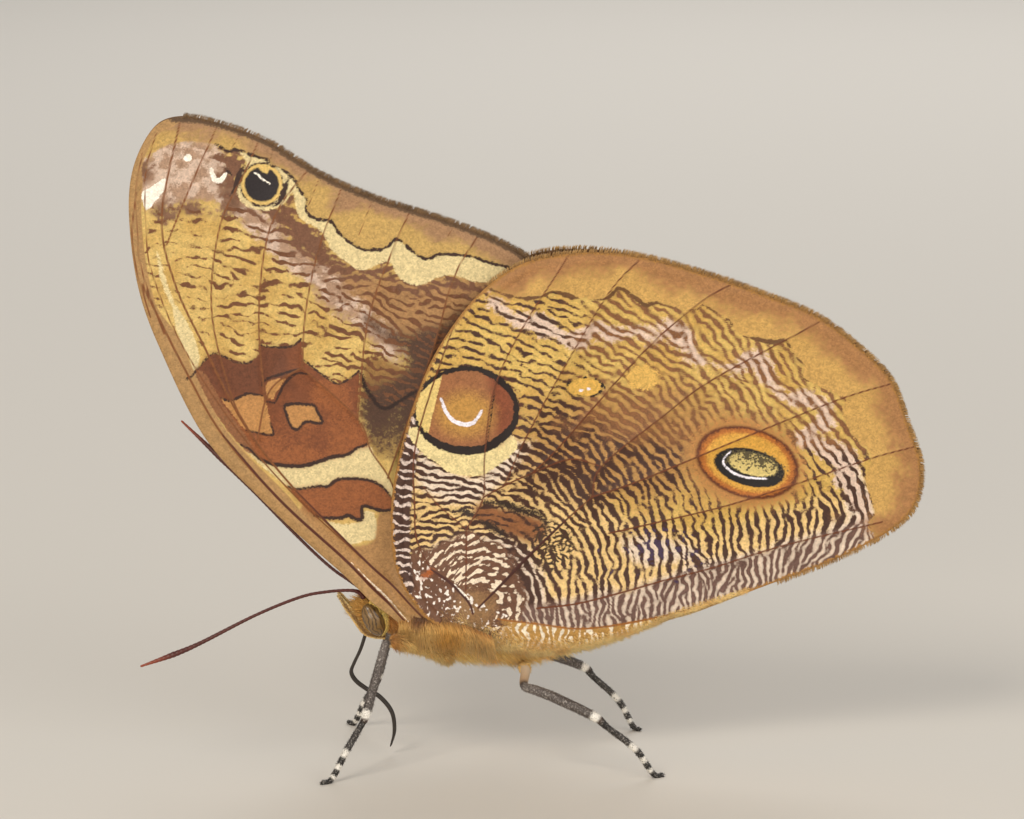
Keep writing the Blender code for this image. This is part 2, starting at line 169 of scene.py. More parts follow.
def mottle(spots, size, seed):
    """Smooth noise with blotches of the given size, its spread one: white noise blurred by a bell curve."""
    low, high = spots.min(0) - size, spots.max(0) + size
    step = size / 3.0
    x, z = np.arange(low[0], high[0], step), np.arange(low[1], high[1], step)
    fx, fz = np.meshgrid(np.fft.fftfreq(len(x), step), np.fft.fftfreq(len(z), step))
    blur = np.exp(-0.5 * (np.hypot(fx, fz) * size * 1.6)**2)
    white = np.random.default_rng(seed).standard_normal(fx.shape)
    field = np.real(np.fft.ifft2(np.fft.fft2(white) * blur))
    return taken_at(spots, (x, z, field / field.std()))


def shaken(spots, seed):
    """The spots moved about by up to a tenth or two of a millimetre, so that bars laid there are ragged."""
    return spots + np.stack([0.1 * mottle(spots, 0.9, seed), 0.1 * mottle(spots, 0.7, seed + 1)], 1)


def taken_at(spots, lattice):
    """Value of a lattice at each spot, between its four nearest points."""
    x, z, value = lattice
    u = np.clip((spots[:, 0] - x[0]) / (x[1] - x[0]), 0, len(x) - 1.001)
    v = np.clip((spots[:, 1] - z[0]) / (z[1] - z[0]), 0, len(z) - 1.001)
    i, j = u.astype(int), v.astype(int)
    u, v = u - i, v - j
    return ((value[j, i] * (1 - u) + value[j, i + 1] * u) * (1 - v)
            + (value[j + 1, i] * (1 - u) + value[j + 1, i + 1] * u) * v)


FOREWING_OUTLINE = (
    (0.5, -0.65), (-1.1, -0.35), (-6.6, 4.1), (-11.6, 8.9), (-16, 13.9), (-19.3, 20.8), (-20.9, 25.6),
    (-21.5, 30.8), (-21.2, 34.6), (-19.8, 37.6), (-18, 38.7), (-15.2, 38.4), (-11, 36.9),
    (-7, 34.4), (-2.7, 32.5), (2.9, 30.7), (7.6, 28.7), (10.6, 26.4), (11, 24.2), (9.4, 19),
    (6.4, 11.4), (3.6, 4.6), (2.6, 1.4), (1.7, -0.5),
)
FOREWING_VEINS = (
    ((-0.2, -0.5), (-4.9, 3.9), (-10.2, 8.9), (-14.6, 14.1), (-17.5, 19.4), (-20.6, 25.9)),
    ((0.8, 0.2), (-3.7, 4.2), (-9, 9.7), (-12.9, 14.9), (-15.9, 21), (-18.1, 26), (-19, 31.2),
     (-17.4, 38.9)),
    ((-18.7, 28.9), (-16.9, 33.2), (-14.5, 38.5)),
    ((-12.6, 14.5), (-13.9, 17.3), (-15.3, 23.8), (-14.6, 30.3), (-12.6, 34.6), (-11.4, 37.3)),
    ((-11.3, 16.7), (-11.7, 22.9), (-11.2, 28.5), (-10, 31.9), (-7.6, 35)),
    ((-11.9, 13.8), (-11.3, 16.7), (-10.4, 18.2), (-8.4, 19.4)),
    ((-8.4, 19.4), (-8.1, 23.8), (-7, 28.8), (-5.1, 33.8)),
    ((-8.4, 19.4), (-4.2, 15.4), (-3.2, 12.9), (-1.6, 10.3), (-0.6, 6.4), (0.9, 1.2)),
    ((-4.2, 15.4), (-3.3, 23.2), (-1.3, 28.8), (0.1, 31.9)),
    ((-1.9, 10.7), (1.5, 20.4), (3.3, 26.5), (5.4, 30.1)),
    ((1.3, 0.6), (3.4, 7.4), (6.9, 16.8), (9.4, 27.8)),
)

WAVY = ((-14.8, 36.7), (-13.7, 36.1), (-13.4, 36.3), (-12.1, 35.9), (-10.8, 35.4), (-10.6, 35),
        (-10, 34.9), (-9.3, 34.4), (-8.8, 33.9), (-8.5, 33.2), (-8, 32.5), (-8, 31.6), (-7.6, 31.1),
        (-6.9, 30.9), (-6.1, 30.8), (-5.6, 30), (-4.9, 29.3), (-4.2, 28.8), (-3.4, 28.5), (-1.9, 28.7),
        (-1.1, 29.4), (0.1, 28.4), (0.9, 27.9), (1.5, 27.9), (2.2, 28.2), (4.3, 28.1), (5.5, 27.7),
        (6.5, 27.4), (7.5, 27.1), (10.5, 25.6))
CREAM_EDGE = ((11, 24.6), (7.2, 26), (5.8, 26), (4.8, 26.1), (3.2, 26.6), (2, 26.4), (1, 25.9),
              (0.3, 25.8), (-0.6, 26.1), (-1.2, 26.8), (-1.6, 27.6), (-2.4, 27.5), (-3.2, 27.1),
              (-4, 27), (-4.8, 27.5), (-5.5, 28), (-6.2, 28.7), (-6.5, 29.5), (-7, 30.1),
              (-8.2, 30.8), (-8.6, 31.3), (-8.8, 32.2), (-9, 33))
EYE_AT = (-11.35, 33.6)
PATCH_TOP = ((-17, 18.6), (-16, 19.8), (-15.2, 20.5), (-14.5, 20.3), (-13.6, 19.8), (-12.6, 19.7),
             (-12.2, 20), (-11.75, 20.4), (-11.7, 21.2), (-11, 21), (-9.3, 21), (-8.5, 21.6),
             (-8.3, 20), (-7.5, 19.3), (-6.3, 18.4), (-5.5, 18.1), (-4.4, 18.8), (-4, 19.2))
PATCH_FOOT = ((-13.2, 13.3), (-12.5, 12.9), (-11.8, 12.2), (-10.8, 11.8), (-9.3, 11.6), (-8, 11.7),
              (-6.2, 12.3), (-5, 12.5), (-4.3, 13), (-3.4, 13.4))
LOBE_TOP = ((-9.6, 10), (-8.8, 9.8), (-7.2, 10), (-6.5, 10), (-5.8, 10.5), (-4.8, 10.6), (-3.5, 10.5),
            (-2.5, 10.1), (-1.8, 9.4), (-1.45, 8.9))
LOBE_FOOT = ((-7.6, 7.7), (-6.5, 7.5), (-5.4, 7.5), (-5, 7.7), (-4.2, 7.3), (-3.9, 7.5), (-3.9, 8.3),
             (-3.5, 8.4), (-2.6, 8.1), (-1.8, 8.1), (-1.3, 8.5))
TAN_PATCH = ((-14.7, 17), (-13.9, 16.8), (-12.7, 17.3), (-11.5, 17.2), (-11.2, 16.5), (-10.9, 15),
             (-10.7, 14.1), (-11.6, 14.2), (-12.8, 14.5), (-13.6, 15.4))
PALE_SPOT = ((-9.8, 16.4), (-9, 16.5), (-7.6, 16.4), (-7.3, 15.9), (-6.9, 15.1), (-7.3, 15),
             (-8.2, 15.1), (-8.8, 14.5), (-9.3, 14.7), (-9.6, 15.4))
# Points, width, step and the share of the width left at the tips.
FOREWING_LINES = (
    (PATCH_TOP[:7], 0.13, 0.2), (PATCH_TOP[8:12], 0.16, 0.2), (PATCH_TOP[12:], 0.15, 0.2),
    (PATCH_FOOT, 0.34, 0.2, 0.5), (LOBE_TOP, 0.24, 0.2, 0.6), (LOBE_FOOT, 0.32, 0.2, 0.6),
    ((*PALE_SPOT, *PALE_SPOT[:2]), 0.24, 0.2), (TAN_PATCH[:4], 0.22, 0.2, 0.7),
    (TAN_PATCH[5:9], 0.2, 0.2, 0.6),
    (((-11.5, 18), (-11.3, 18.4), (-10.2, 18.8), (-9.3, 19.1), (-8.5, 19.3)), 0.22, 0.2, 0.7),
    (((-11.3, 16.8), (-10.6, 16.6), (-10.2, 17.3), (-9.7, 18.2), (-8.9, 18.9), (-8, 18.9)), 0.2, 0.2, 0.7),
    (((-12.5, 35.3), (-13, 34.5), (-13.4, 33.3), (-13.8, 32.7)), 0.4, 0.2, 0.2),
    (((-9.3, 34.2), (-9.6, 33.2), (-10, 32.3), (-10.5, 31.9)), 0.4, 0.2, 0.2),
    (((-17, 18.65), (-17.3, 18.5)), 0.2, 0.2),
)
FOREWING_FOLDS = (
    ((-13, 37.4), (-13.7, 36.2)), ((-10.4, 36.3), (-10.7, 35.5)), ((-7, 34), (-7.8, 32)),
    ((-3, 32.2), (-4, 29.7)), ((3.2, 30.3), (2.8, 29.6)),
)
FRONT_EDGE_LINES = (
    ((-20.9, 33), (-21.3, 30), (-21, 27), (-20, 23.3)),
    ((-20.4, 36), (-20.95, 33), (-20.9, 30), (-20.6, 27), (-19, 22)),
    ((-19.3, 37.6), (-20.2, 34.4), (-20.2, 30), (-19.9, 27), (-17.8, 21.5), (-14, 15.2), (-9.4, 9.6),
     (-4, 4.4)),
)
WIDE_BARS, CLOSE_BARS, BAR_CLOUDS = 0.76, 0.62, 2.1
# Places, and the way the bars run there in degrees.
FOREWING_HEADINGS = np.array(((-17, 27, -3), (-14, 27, -12), (-12, 28, -18), (-12, 23, -6), (-8, 22, -5),
    (-6, 25, -10), (-2, 24, -18), (2, 25, -20), (4, 24, -22), (-17, 22, -2), (-9, 30, -25), (-5, 27, -18),
    (-2, 20, -16), (1, 20, -20), (-14, 31, -10), (-18, 33, 0), (-10, 26, -10), (-10, 24, -8)))


def forewing_inks(spots):
    """One layer per pigment, and layers of painted highlight and sheen: how far each spot lies inside it, in
    millimetres.
    """
    x, z = spots.T
    ink = {}
    rim = distance_to(spots, curve_through(FOREWING_OUTLINE[:11], 0.4))[0]
    ragged, grain = shaken(spots, 91), mottle(spots, 0.3, 93)
    cloud = mottle(spots, 2.0, 94)
    wide = taken_at(ragged, ripples((-23, 17, 12, 40), FOREWING_HEADINGS, WIDE_BARS, 3, FOREWING_VEINS,
        rounds=6))
    close = taken_at(ragged, ripples((-23, 12, 12, 40), FOREWING_HEADINGS, CLOSE_BARS, 5, FOREWING_VEINS))
    east = fade(x + 8.5, 3.0)
    patchy = taken_at(ragged, ripples((-23, 12, 12, 40), FOREWING_HEADINGS + (0, 0, 55), BAR_CLOUDS, 8, (),
        0.5, 1))
    bars = wide * (1 - east) + close * east
    sparse = (2.5 * fade(z - 31.8, 0.9) + 0.5 * fade(-14.0 - x, 2.0)
              + 0.3 * fade(24.0 - z, 4.0) * fade(-6.0 - x, 2.0) + 2.5 * fade(17.0 - z, 1.5))
    ink["ripple"] = (bars - 0.7 + 0.3 * east + 0.38 * patchy + 0.22 * grain - sparse) / 8
    ink["dusk"] = area(spots, ((-9, 28.6), (-6.4, 25.6), (-3.6, 23.4), (-1, 21.4), (2, 21.6), (6, 23),
        (12, 23), (12, 27.5), (4, 26.6), (-3, 26.8)))
    patch = area(spots, (*PATCH_TOP, (-4.1, 17), (-4.1, 15.4), *PATCH_FOOT[::-1], (-15, 16.4), (-16.4, 18)),
        0.25)
    lobe = area(spots, (*LOBE_TOP, *LOBE_FOOT[::-1], (-8.6, 8.7)), 0.25)
    top = area(spots, (*WAVY, (13, 28), (9, 33), (-4, 38), (-12, 42), (-24, 42), (-24, 35), (-20.5, 35.6),
                       (-18.4, 36.7), (-17, 36.9)), 0.25)
    cream = area(spots, ((-13.2, 36.2), *WAVY[2:], *CREAM_EDGE, (-9.6, 32.2), (-10.3, 31.8), (-11.4, 31.6),
                         (-12.6, 32), (-13.2, 32.9), (-13, 34.2), (-12.5, 35.3)), 0.25)
    under = area(spots, (*CREAM_EDGE, (-10, 32.2), (-12.6, 32.4), (-13.2, 32.6), (-12.2, 31.4),
        (-10.6, 30.8), (-9.7, 29.4), (-8.9, 28.3), (-7.6, 27.7), (-6.5, 26.9), (-5.4, 26.2), (-4.4, 25.9),
        (-3, 26.2), (-2, 26.4), (-1.4, 25.8), (0, 24.9), (1, 25.1), (2.2, 25.6), (4, 25.2), (5.5, 24.8),
        (6.6, 25), (11, 23)))
    ink["under"] = 0.3 * bars + 0.2 * grain + np.maximum(under - 0.12, area(spots, ((-14.9, 36),
        (-13.2, 36.2), (-12.6, 35.2), (-13.1, 33.6), (-13.9, 32.9), (-14.3, 33.6), (-14.2, 34.9))))
    dark = area(spots, ((-3.6, 23.4), (-1, 22.2), (2.4, 22.9), (4, 24), (12, 24), (8, 8), (0, 7),
        (-0.9, 11.2), (-1.3, 12.6), (-2.4, 12.8), (-3.2, 13.6), (-4, 15.6), (-3.8, 18.6), (-3, 18),
        (-1.6, 18.6), (-0.6, 19.4), (-0.9, 20.4), (-2, 21.4)))
    ink["dark"] = np.minimum(dark + 0.18 * cloud + 0.15 * bars, 0.3 * (z - 13.3) + 0.2 * cloud
        + 0.1 * grain)
    ink["thumb"] = area(spots, ((-3.8, 18.7), (-3.5, 17.7), (-2.5, 16.3), (-1.8, 16.2), (-1, 16.7),
        (0.3, 17.5), (0.4, 19), (-0.8, 19.4), (-2.4, 20.2), (-3.6, 20)))
    haze = area(spots, ((-20.4, 35.4), (-18.4, 36.9), (-15, 36.6), (-13.8, 34.6), (-13.6, 32.8),
        (-12, 31.9), (-10.6, 31), (-9.6, 29.6), (-7.6, 27.9), (-5.6, 26.4), (-4.4, 25), (-2.6, 23.2),
        (-0.6, 21.4), (-0.8, 19.6), (-2.6, 20.8), (-4.4, 22.8), (-6.4, 24), (-8.2, 26.2), (-10, 27.6),
        (-12, 29.8), (-14, 31.6), (-16.8, 32.4), (-19.6, 31.6), (-20.9, 32.4)))
    ink["haze"] = haze + 0.25 * cloud + 0.12 * grain
    # Pale pink blotches in the lilac haze: partly real pale scales, partly painted sheen.
    ink["pale_dust_and_sheen"] = np.minimum(haze + 0.1, 0.45 * mottle(spots, 0.8, 95) + 0.1 * grain - 0.1)
    ink["top"] = top
    outer = distance_to(spots, curve_through(FOREWING_OUTLINE[10:18], 0.4))[0]
    ink["brim"] = np.minimum(top, 1.2 - outer + 0.4 * cloud + 0.15 * grain)
    ink["smoke"] = 0.25 * cloud + 0.2 * grain + np.maximum.reduce([
        0.75 - np.hypot((x + 18.6) / 1.6, z - 31.3), 0.8 - np.hypot((x + 20.2) / 0.7, z - 34.6),
        0.9 - np.hypot(x + 13.9, (z - 33.0) / 2.0), 0.7 - np.hypot((x + 16.6) / 2.4, (z - 31.6) / 0.8)])
    ink["cream"] = np.maximum.reduce([cream, area(spots, (*PATCH_FOOT, (-2.6, 12), (-1.6, 10.3),
        (-1.2, 9.2), *LOBE_TOP[::-1], (-11.6, 11.6)), 0.25), area(spots, ((-6.9, 7.3), (-5.4, 7), (-4, 7.2),
        (-3.8, 8), (-3, 7.9), (-2.75, 6.9), (-2.8, 5.8), (-3.8, 5.7), (-4.8, 5.4), (-5.8, 6.3))),
        stroke(spots, ((-19.4, 28.4), (-18.9, 26), (-17.9, 23.4)), 0.4, 0.4, 0.3),
        stroke(spots, ((-18.1, 24), (-17.3, 21.8), (-16.7, 20.2), (-16.7, 19.2)), 1.1, 0.4, 0.4)])
    ink["base"] = area(spots, ((-8.4, 8.6), (-7, 7.2), (-5.8, 6.2), (-4.6, 5.3), (-3, 5.7), (-2.6, 7.8),
        (-1.4, 8.2), (-0.6, 9.2), (4, 9), (4, -3), (-3, -3), (-9, 5)))
    brown = ink["patch"] = np.maximum(patch, lobe)
    ink["glow"] = np.minimum(brown, 0.3 * cloud + np.maximum(0.3 * (14.2 - z),
        1.2 - np.hypot(x + 6.0, z - 17.4)))
    # The chestnut patch made darker towards its top and its front edge.
    ink["darker_corner"] = np.minimum(brown, 0.3 * cloud + np.minimum(0.5 * (z - 17.4), 0.6 * (-9.0 - x)) - 0.2)
    ink["strip"] = area(spots, ((-17, 18.7), (-16, 19), (-14.5, 16.4), (-12.8, 14), (-12.2, 12.5),
        (-13.4, 13.4), (-15.2, 15.8)), 0.3)
    ink["tan"] = np.maximum.reduce([area(spots, TAN_PATCH, 0.25), area(spots, PALE_SPOT, 0.2),
                                    area(spots, ((-11.3, 16.8), (-11.5, 18), (-11.2, 18.5), (-10, 18.8),
                                                 (-9.4, 18.6), (-10.2, 17.3), (-10.6, 16.6))) - 0.25])
    ink["costa"] = 0.95 + 0.75 * fade(24.5 - z, 3.0) * fade(6.0 + x, -4.0) - 0.4 * fade(z - 33.5, 2.0) - rim
    ring = ink["ring"] = oval(spots, EYE_AT, (1.62, 1.66))
    notch = area(spots, ((-12, 35.6), (-11.25, 34.5), (-10.9, 34.4), (-10.6, 35.6)))
    ink["pupil"] = np.minimum(oval(spots, EYE_AT, (1.3, 1.34)), -notch)
    ink["black"] = np.maximum.reduce([
        stroke(spots, WAVY, 0.26, 0.2) + 0.04 * grain - 0.02, strokes(spots, FOREWING_LINES),
        stroke(spots, ((-14.2, 34.9), (-13.9, 34.6), (-13.6, 34.3)), 0.5, 0.2, 0.5) - 0.1,
        0.07 - np.abs(ring) + 0.03 * grain])
    ink["contour"] = stroke(spots, ((-3.9, 18.9), (-3.5, 17.7), (-2.5, 16.3), (-1.8, 16.2), (-1, 16.7),
                                    (0.3, 17.5)), 0.3, 0.2)
    ink["white"] = np.maximum.reduce([area(spots, ((-18.7, 34.1), (-18.75, 33.2), (-19.5, 32.3),
        (-20.2, 31.6), (-20.5, 32.9), (-19.8, 33.4)), 0.2), oval(spots, (-16.95, 35.65), (0.32, 0.3)),
        stroke(spots, ((-15.2, 34.8), (-14.95, 34), (-14.5, 33.9), (-14.1, 34.4)), 0.42, 0.2, 0.6),
        stroke(spots, ((-11.9, 34.5), (-11.6, 34.35), (-11.3, 34), (-11, 33.8), (-10.75, 33.65)),
        0.16, 0.1, 0.7)])
    ink["vein"] = strokes(spots, [(line, 0.14 if k > 1 else 0.17) for k, line in enumerate(FOREWING_VEINS)]
                          + [(line, 0.09) for line in FOREWING_FOLDS]
                          + [(line, 0.12) for line in FRONT_EDGE_LINES])
    ink["stem"] = strokes(spots, ((FOREWING_VEINS[0][:4], 0.22, 0.4, 0.5),
                                  (FOREWING_VEINS[1][:3], 0.17, 0.4, 0.4)))
    # Painted highlight: a thin pale line along the first vein near the base, where the raised vein catches
    # the light.
    gleam = np.array(FOREWING_VEINS[0][:2]) + (0.15, 0.1)
    ink["gleam"] = stroke(spots, gleam, 0.1, 0.4, 0.0) + 0.01 * grain
    ink["fringe"] = 0.3 - outer
    return ink


# From the bottom up: ink, colour, softness in mm, raggedness in mm.
FOREWING_LAYERS = (("dusk", "#A97F52", 2.0, 0.3), ("haze", "#AD8C74", 1.0, 0.6),
    # The pale pink blotches are partly real pale scales, partly painted sheen.
    ("pale_dust_and_sheen", "#D2B8A6", 0.7, 0.5), ("smoke", "#7F5C46", 0.8, 0.7), ("thumb", "#96703E", 0.8, 0.5),
    ("dark", "#513729", 1.3, 0.9), ("ripple", "#70462B", 0.1, 0.13), ("under", "#77503A", 0.5, 0.6),
    ("top", "#C3A05E", 0.2, 0.15), ("brim", "#A57F5C", 1.2, 0.5), ("cream", "#E1CE9B", 0.14, 0.2),
    ("base", "#AD8353", 0.3, 0.2), ("patch", "#7E4729", 0.14, 0.16), ("glow", "#945730", 0.9, 0.4),
    ("darker_corner", "#6E3F28", 0.8, 0.4), ("strip", "#8C5C3A", 0.15, 0.2), ("tan", "#BC8850", 0.12, 0.16),
    ("costa", "#AE8858", 0.12, 0.08), ("ring", "#E0BE72", 0.1, 0.12), ("pupil", "#272024", 0.15, 0.14),
    ("contour", "#2B1812", 0.2, 0.2), ("black", "#38211A", 0.1, 0.17), ("white", "#FFF8EC", 0.08, 0.1),
    # The pale gleam is a painted highlight along the vein.
    ("vein", "#7C4A26", 0.09, 0.03), ("stem", "#56281A", 0.08, 0.04), ("gleam", "#F6E7D2", 0.06, 0.08),
    ("fringe", "#5E4630", 0.15, 0.3))


MM = 0.001
HINGE = np.array([8.9, 0.0, -11.6])
TRUNK = (
    (-8.5, 0.2, 1.6, 0), (-5.5, 0.2, 1.8, 0.7), (-3.4, -0.1, 1.9, 1.9), (-1.7, -0.5, 1.6, 1.6),
    (0.2, -0.4, 2.2, 2.1), (3.4, -0.4, 3.2, 2.8), (6.4, -0.7, 3.2, 2.7), (8.7, -1.2, 2.7, 2.3),
    (12, -1, 2.1, 2), (15.2, -0.6, 1.7, 1.6), (18.2, 0, 1.2, 1.2), (20.2, 0.3, 0.6, 0.6),
    (23, 0.4, 1.2, 0.2), (26, 0.5, 1.2, 0),
)
FOREWING_CORNERS = ((0.5, -0.65), (-18, 38.7), (11, 24.2), (1.7, -0.5))
FOREWING_CELLS = (360, 232)
# The room inside the skin, the membrane's thickness, and how far veins, front bar and dips leave the flat.
SKIN_GAP = 0.12
MEMBRANE = 0.14
VEIN_LIFT, VEIN_HALF, VEIN_TAPER = 0.13, 0.26, 0.14
BAR_LIFT, BAR_TAPER, BAR_INSET, BAR_HALF = 0.26, 0.2, 0.42, 0.48
DIP_DEPTH, DIP_REACH = 0.11, 1.6
SIDES = ((-1, "left"), (1, "right"))


def to_linear(code):
    """An sRGB hex colour as linear light: ((c + 0.055) / 1.055) to the power 2.4 above 0.04045."""
    c = np.array([int(code[i:i + 2], 16) for i in (1, 3, 5)]) / 255
    linear = np.where(c <= 0.04045, c / 12.92, ((c + 0.055) / 1.055)**2.4)
    return (*linear.tolist(), 1.0)


def add(tree, kind, settings=(), links=(), output=0):
    """Adds one node and gives one of its outputs. Settings are its properties or its inputs' values, where a
    hex colour is turned to linear; links join outputs to its inputs."""
    node = tree.nodes.new("ShaderNode" + kind)
    for key, value in dict(settings).items():
        if isinstance(key, str) and hasattr(node, key):
            setattr(node, key, value)
        else:
            node.inputs[key].default_value = to_linear(value) if isinstance(value, str) else value
    for key, source in dict(links).items():
        tree.links.new(source, node.inputs[key])
    return node.outputs[output]


def substance(name, values):
    """A new material whose shader has these plain values; gives its node tree and the piece's coordinates."""
    material = bpy.data.materials.new(name)
    material.use_nodes = True
    tree = material.node_tree
    for key, value in values.items():
        tree.nodes["Principled BSDF"].inputs[key].default_value = value
    return material, tree, add(tree, "TexCoord", output="Object")


def shaded(tree, tone, covers=(), lift=None, bump=None):
    """Joins colour and relief to the shader. Covers, each a share and a colour, are laid one over another and
    all is multiplied by the lift; the bump is its strength, its depth and what drives it."""
    shader = tree.nodes["Principled BSDF"]
    for share, colour in covers:
        tone = add(tree, "Mix", {"data_type": "RGBA", "B": colour}, {"Factor": share, "A": tone}, "Result")
    if lift is not None:
        tone = add(tree, "Mix", {"data_type": "RGBA", "blend_type": "MULTIPLY", "Factor": 1.0},
                   {"A": tone, "B": lift}, "Result")
    tree.links.new(tone, shader.inputs["Base Color"])
    if bump is not None:
        strength, depth, driver = bump
        tree.links.new(add(tree, "Bump", {"Strength": strength, "Distance": depth}, {"Height": driver}),
                       shader.inputs["Normal"])


def trunk_at(x):
    """Axis height, half height and half width of the trunk at each x, read off smooth curves."""
    stations = curve_through(TRUNK, 0.25)
    return [np.interp(x, stations[:, 0], stations[:, column]) for column in (1, 2, 3)]


def clearance(spots):
    """Distance from the middle plane to the innermost wing: a bell curve over the trunk, then 0.15 mm."""
    axis, half_height, half_width = trunk_at(spots[:, 0])
    reach = (spots[:, 1] - axis) / half_height
    return 0.15 + np.maximum((half_width + 0.15) * np.exp(-0.5 * reach**2), 0.0)


def shared_out(line, count):
    """Points at equal shares of a line's length."""
    travelled = np.concatenate([[0.0], np.cumsum(np.linalg.norm(np.diff(line, axis=0), axis=1))])
    at = np.linspace(0.0, travelled[-1], count)
    return np.stack([np.interp(at, travelled, line[:, k]) for k in range(line.shape[1])], 1)


def between(outline, corners, cells):
    """Coons patch: each inner point is the mean of straight lines between facing edges, less the corners'."""
    ring = loop_through(outline, 0.08)
    at = [int(np.argmin(np.linalg.norm(ring - np.array(c), axis=1))) for c in corners]
    spans = []
    for a, b in zip(at, at[1:] + at[:1]):
        if b <= a:
            b += len(ring)
        spans.append(np.take(ring, range(a, b + 1), axis=0, mode="wrap"))
    front, outer, back, root = spans
    rows, columns = cells[0] + 1, cells[1] + 1
    low, high = shared_out(front, rows), shared_out(back[::-1], rows)
    start, end = shared_out(root[::-1], columns), shared_out(outer, columns)
    u, v = np.linspace(0, 1, rows)[:, None, None], np.linspace(0, 1, columns)[None, :, None]
    return ((1 - v) * low[:, None] + v * high[:, None] + (1 - u) * start[None] + u * end[None]
            - (1 - u) * ((1 - v) * start[0] + v * start[-1]) - u * ((1 - v) * end[0] + v * end[-1]))


def relief(spots, veins, outline, costa):
    """Height over the flat of a wing: rounded ridges on the veins and the front edge, and a shallow dip
    of the membrane between them; everything thins to nothing at the rim."""
    ridge, gap = np.zeros(len(spots)), np.full(len(spots), 3.0)
    for line in veins:
        away, share = distance_to(spots, curve_through(line, 0.5))
        half = VEIN_HALF - VEIN_TAPER * share
        ridge = np.maximum(ridge, (1 - 0.5 * share) * VEIN_LIFT * np.exp(-(away / half)**2))
        gap = np.minimum(gap, away)
    front, share = distance_to(spots, curve_through(costa, 0.5))
    bar = (BAR_LIFT - BAR_TAPER * share) * np.sqrt(np.clip(1 - ((front - BAR_INSET) / BAR_HALF)**2, 0, 1))
    ring = loop_through(outline, 0.5)
    rim = distance_to(spots, np.vstack([ring, ring[:1]]))[0]
    dip = DIP_DEPTH * np.sin(0.5 * np.pi * np.clip(gap / DIP_REACH, 0, 1))**2
    return (ridge - dip) * fade(rim, 1.2) + bar, MEMBRANE * (0.35 + 0.65 * fade(rim, 0.8))


def plate(name, outline, corners, cells, inner, height, thickness, inks, side, material):
    """A closed thin shell: the full grid outside, every fourth point of it inside, and fans between the
    two rims; the depth of each pigment, painted highlight and painted sheen is kept on the points as an
    attribute."""
    grid = between(outline, corners, cells)
    rows, columns = grid.shape[:2]
    spots = grid.reshape(-1, 2)
    outside = inner + thickness + height
    index = np.arange(rows * columns).reshape(rows, columns)
    sparse = index[::4, ::4]
    order = sparse.ravel()
    lower = (np.arange(sparse.size) + rows * columns).reshape(sparse.shape)
    points = np.concatenate([
        np.stack([spots[:, 0], side * outside, spots[:, 1]], 1),
        np.stack([spots[order, 0], side * inner[order], spots[order, 1]], 1)])
    top = np.stack([index[:-1, :-1], index[1:, :-1], index[1:, 1:], index[:-1, 1:]], -1).reshape(-1, 4)
    under = np.stack([lower[:-1, :-1], lower[:-1, 1:], lower[1:, 1:], lower[1:, :-1]], -1).reshape(-1, 4)
    fans = []
    for fine, coarse in ((index[:, 0], lower[:, 0]), (index[-1], lower[-1]),
                         (index[::-1, -1], lower[::-1, -1]), (index[0, ::-1], lower[0, ::-1])):
        f = [fine[k:len(fine) - 4 + k:4] if k else fine[:-1:4] for k in range(4)] + [fine[4::4]]
        a, b = coarse[:-1], coarse[1:]
        for three in ((f[1], f[0], a), (f[2], f[1], a), (f[2], a, b), (f[3], f[2], b), (f[4], f[3], b)):
            fans.append(np.stack(three, 1))
    fans = np.concatenate(fans)
    if side > 0:
        top, under, fans = top[:, ::-1], under[:, ::-1], fans[:, ::-1]
    faces = [*top.tolist(), *under.tolist(), *fans.tolist()]
    values = {key: np.concatenate([value, np.full(len(order), -5.0)]) for key, value in inks.items()}
    values["dorsal"] = np.concatenate([np.zeros(len(spots)), np.ones(len(order))])
    low, high = spots.min(0), spots.max(0)
    flat = (spots - low) / (high - low)
    uv = np.concatenate([flat * (0.98, 0.78) + (0.01, 0.21), flat[order] * (0.98, 0.16) + (0.01, 0.01)])
    return made(name, points, faces, values, material, uv)


def made(name, points, faces, values, material, uv=None):
    """One smooth object at the origin, riding on the body: points moved from the hinge to the model's own
    frame, values kept on them as attributes, and a bake map where there is one."""
    mesh = bpy.data.meshes.new(name)
    mesh.from_pydata(((points + HINGE * (-1, 1, -1)) * MM).tolist(), [], faces)
    for key, value in values.items():
        mesh.attributes.new(key, "FLOAT", "POINT").data.foreach_set("value", value.astype(np.float32))
    if uv is not None:
        corner = np.empty(len(mesh.loops), np.int32)
        mesh.loops.foreach_get("vertex_index", corner)
        mesh.uv_layers.new(name="OFBake").data.foreach_set("uv", uv[corner].ravel().astype(np.float32))
    mesh.shade_smooth()
    mesh.materials.append(material)
    thing = bpy.data.objects.new(name, mesh)
    bpy.context.scene.collection.objects.link(thing)
    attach(thing, "root")
    return thing


